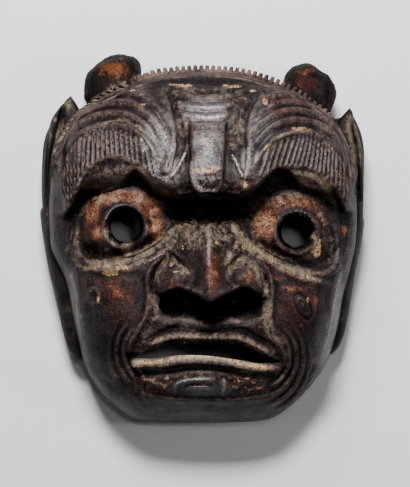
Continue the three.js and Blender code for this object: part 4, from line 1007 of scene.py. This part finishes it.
def makeLacquer():  # dark lacquer, mottled and rubbed, then paint, a painted cool sheen, wear, painted shade, painted highlights, dust and bare wood
    finish, tree, where = startMaterial("rubbedLacquer")
    marks = put(tree, "Group", {"Vector": where}, node_tree=grain).outputs
    mottle, fibres, flecks, specks = (marks[name] for name in ("Mottle", "Fibres", "Flecks", "Specks"))
    gloss, highlightLines, painted = (mask(tree, name) for name in ("gloss", "edge", "orange"))
    plain = between(tree, mask(tree, "wall"), 0, 1, 1, 0.25)
    rubbing = times(tree, between(tree, speckle(tree, where, 28, 5, 0.6), 0.36, 0.62),
                    between(tree, flecks, 0.4, 0.62), between(tree, gloss, 0, 0.8, 0.3, 1), plain)
    red = broken(tree, mask(tree, "red"), marks, 2)
    orange = maths(tree, "MULTIPLY_ADD", maths(tree, "SUBTRACT", specks, 0.5), 1.6,
                   broken(tree, painted, marks, 1.5))
    worn = times(tree, mask(tree, "worn"), between(tree, flecks, 0.28, 0.62), plain, 0.9)
    # pale painted highlight along worn edges, from the map's edge lines, broken up by specks
    edge = maths(tree, "MULTIPLY_ADD", maths(tree, "SUBTRACT", specks, 0.45), 1.6, highlightLines)
    edge = times(tree, between(tree, edge, 0.3, 1.1), between(tree, highlightLines, 0.1, 0.4))
    shadedCover = between(tree, broken(tree, mask(tree, "blackAndShade"), marks, 1), 0.1, 0.95)
    # over the dark base: brown mottle, rubbing, the painted cool sheen, red and orange paint, wear, painted
    # shade in hollows, painted highlights, then black with painted shade
    shown = layered(tree, dirt["dark"], (
        (between(tree, mottle, 0.38, 0.66), "brown"), (rubbing, "rubbed"),
        (maths(tree, "MULTIPLY", mask(tree, "coolGreyAndSheen"), 0.8, clamp=True), "coolGreyAndSheen"),
        (between(tree, red, 0.3, 1.1), "red"), (between(tree, red, 1.05, 1.7), "bright"),
        (between(tree, orange, 0.25, 0.8), "rust"), (between(tree, orange, 0.6, 1.3), "orange"),
        (worn, "rubbed"), (times(tree, mask(tree, "sunkShade"), 0.9), "blackAndShade"), (edge, "paintedHighlight"),
        (shadedCover, "blackAndShade")))
    dusty = dusted(tree, shown, marks, between(tree, gloss, 0, 1, 0.5, 0.3))
    gold = times(tree, between(tree, broken(tree, mask(tree, "dust"), marks, 1.6), 1, 1.7),
                 between(tree, specks, 0.38, 0.52, 0.35, 1))
    bare = between(tree, broken(tree, mask(tree, "chip"), marks, 1.9), 0.55, 0.75)
    wood = blend(tree, between(tree, specks, 0.38, 0.56), dirt["rust"], dirt["chip"])
    pitted = times(tree, between(tree, specks, 0.53, 0.37, 0, 0.85), between(tree, painted, 0, 0.8, 1, 0.55))
    shown = blend(tree, bare, blend(tree, gold, dusty["Colour"], dirt["gold"]), wood)
    shown = layered(tree, shown, ((pitted, "blackAndShade"), (between(tree, fibres, 0.5, 0.36, 0, 0.4), "blackAndShade")))
    shine = times(tree, between(tree, gloss, 0, 0.9, 0.14, 0.85), between(tree, shadedCover, 0, 1, 1, 0.1),
                  between(tree, maths(tree, "ADD", mottle, specks), 0.85, 1.1, 0.4, 1.15))
    uneven = times(tree, maths(tree, "SUBTRACT", specks, 0.45), 0.8)
    roughness = maths(tree, "ADD", dusty["Roughness"], uneven)
    height = maths(tree, "ADD", times(tree, fibres, 0.5), maths(tree, "ADD", specks, flecks))
    height = times(tree, height, between(tree, gloss, 0, 1, 0.4, 1))
    finishMaterial(tree, shown, roughness, height, 0.0008, shine)
    return finish


def makePlain(name, under, over, mottling, roughness, cover=(), dustColour=dirt["dust"], distance=0.0004,
              shine=0.2):
    # two colours mottled together, then any painted cover, the dust of the map, and the map's black with
    # painted shade
    finish, tree, where = startMaterial(name)
    marks = put(tree, "Group", {"Vector": where}, node_tree=grain).outputs
    shown = blend(tree, between(tree, marks["Mottle"], *mottling), colour(*under), colour(*over))
    shown = layered(tree, shown, [(between(tree, broken(tree, mask(tree, layer), marks, 1.8), 0.4, 1), paint)
                                  for layer, paint in cover])
    dusty = dusted(tree, shown, marks, roughness, dustColour)
    # the map's black places and painted shade, with the painted shade in the band's gaps
    darkAndShade = maths(tree, "MAXIMUM", mask(tree, "blackAndShade"), mask(tree, "rope"))
    shadedCover = between(tree, broken(tree, darkAndShade, marks, 1.3), 0.25, 0.85)
    shown = layered(tree, dusty["Colour"], ((shadedCover, "blackAndShade"),
                                            (between(tree, marks["Specks"], 0.5, 0.34, 0, 0.75), "blackAndShade")))
    height = maths(tree, "ADD", times(tree, marks["Fibres"], 0.8), marks["Flecks"])
    finishMaterial(tree, shown, dusty["Roughness"], height, distance, shine)
    return finish


finishes = {
    "lacquer": makeLacquer(),
    "inside": makePlain("bareWoodInside", (0.03, 0.018, 0.011), (0.1, 0.06, 0.035), (0.35, 0.65), 0.7),
    "tooth": makePlain("toothedBand", (0.02, 0.008, 0.006), (0.112, 0.068, 0.05), (0.4, 0.6), 0.6),
    "ear": makePlain("earPaint", (0.003, 0.0026, 0.0026), (0.018, 0.0135, 0.011), (0.4, 0.65), 0.6, (),
                     colour(0.13, 0.1, 0.07), 0.0011, 0.12),
    "horn": makePlain("hornWood", (0.0035, 0.0024, 0.002), (0.017, 0.0115, 0.0095), (0.42, 0.62), 0.65,
                      (("red", "hornRed"), ("orange", "hornOrange")), dirt["dust"], 0.0017, 0.06)}


# the mask put together: joins first, then the cuts

# how many triangles each kind of solid is thinned to before it is joined or cuts
triangles = {"face": 144000, "band": 9000, "bandLine": 1500, "ear": 3000, "horn": 6500, "hollow": 9000}
bandLines = ((0.956, 152, 24), (0.985, 156, 126), (0.985, 50, 18))  # share of the outline, degrees


def finished(piece, name):  # every solid carries the whole list, so joins and cuts keep each face's finish
    for finish in finishes.values():
        piece.data.materials.append(finish)
    chosen = np.full(len(piece.data.polygons), list(finishes).index(name), np.int32)
    piece.data.polygons.foreach_set("material_index", chosen)
    return piece


def readied(build, kind, name, *given):  # a solid built, thinned and given its finish
    return finished(thinned(build(*given), triangles[kind]), name)


maskPiece = readied(buildFace, "face", "lacquer")
print("face solid", len(maskPiece.data.polygons))
combine(maskPiece, readied(buildBand, "band", "tooth"), "UNION")
for build, kind, name, rows in ((buildBandLine, "bandLine", "tooth", bandLines),
                                (buildEar, "ear", "ear", ears), (buildHorn, "horn", "horn", horns)):
    for row in rows:
        combine(maskPiece, readied(build, kind, name, *row), "UNION")
print("band, ears and horns joined", len(maskPiece.data.polygons))
combine(maskPiece, readied(buildHollow, "hollow", "inside"), "DIFFERENCE")
for build, *given in ((buildEyeHole, "left"), (buildEyeHole, "right"), (buildMouthSlot,), (buildNostril, -1),
                      (buildNostril, 1)):
    combine(maskPiece, finished(build(*given), "lacquer"), "DIFFERENCE")
print("hollow, eyes, mouth and nostrils cut", len(maskPiece.data.polygons))

maskPiece.name = maskPiece.data.name = "nuoMask"
maskPiece.data.polygons.foreach_set("use_smooth", np.ones(len(maskPiece.data.polygons), bool))
paintVertices(maskPiece)
print("mask", len(maskPiece.data.polygons), "faces,", len(maskPiece.data.materials), "finishes")
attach(maskPiece, "root")
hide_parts("mask")


# floor, light and camera

reach = 3000  # of the floor to each side
floor = makeMesh("floor", reach * np.array([(-1, -1, 0), (1, -1, 0), (1, 1, 0), (-1, 1, 0)]),
                 np.array([(0, 1, 2), (0, 2, 3)]))
finish, tree, where = startMaterial("paleFloor")
pale = blend(tree, speckle(tree, where, 3, 2), colour(0.66, 0.67, 0.68), colour(0.7, 0.71, 0.72))
finishMaterial(tree, pale, 0.75, speckle(tree, where, 200, 2), 0.0002, 0.3)
floor.data.materials.append(finish)

lamps = (  # place, size and power of each soft light, all turned to the mask
    ((-0.08, 0.75, 1.15), (0.36, 0.22), 42), ((-0.3, 1.05, 0.95), (0.25, 0.12), 7),
    ((0.13, 0.13, 1.6), (0.2, 0.12), 2.4), ((1.05, -0.05, 0.9), (0.12, 0.12), 3.4),
    ((-1.0, -0.1, 0.5), (0.2, 0.3), 1), ((1.0, 0.0, 0.45), (0.2, 0.3), 1.2))

# the frame is the picture's height in metres at the aim: its rows times the height of one
camera = {"aim": Vector((0.0014, 0.0, 0.06)), "elevation": np.radians(88), "distance": 1.44, "sensor": 36,
          "frame": 487 * 0.00068}


def aimed(name, content, location, target):  # looks from its place at the target
    added = addObject(name, content)
    added.location = location
    added.rotation_euler = (target - added.location).to_track_quat("-Z", "Y").to_euler()
    return added


for location, size, power in lamps:
    light = bpy.data.lights.new("softLight", "AREA")
    light.shape, (light.size, light.size_y), light.energy = "RECTANGLE", size, power
    aimed("softLight", light, location, Vector((0, 0, 0.05)))

lens = bpy.data.cameras.new("camera")
lens.sensor_width = camera["sensor"]
lens.lens = camera["sensor"] * camera["distance"] / camera["frame"]
away = Vector((0, -np.cos(camera["elevation"]), np.sin(camera["elevation"])))
bpy.context.scene.camera = aimed("camera", lens, camera["aim"] + camera["distance"] * away, camera["aim"])

sky = bpy.data.worlds.new("studio")
sky.use_nodes = True
sky.node_tree.nodes["Background"].inputs["Color"].default_value = colour(0.016, 0.018, 0.021)
bpy.context.scene.world = sky
print("floor, lights and camera placed")
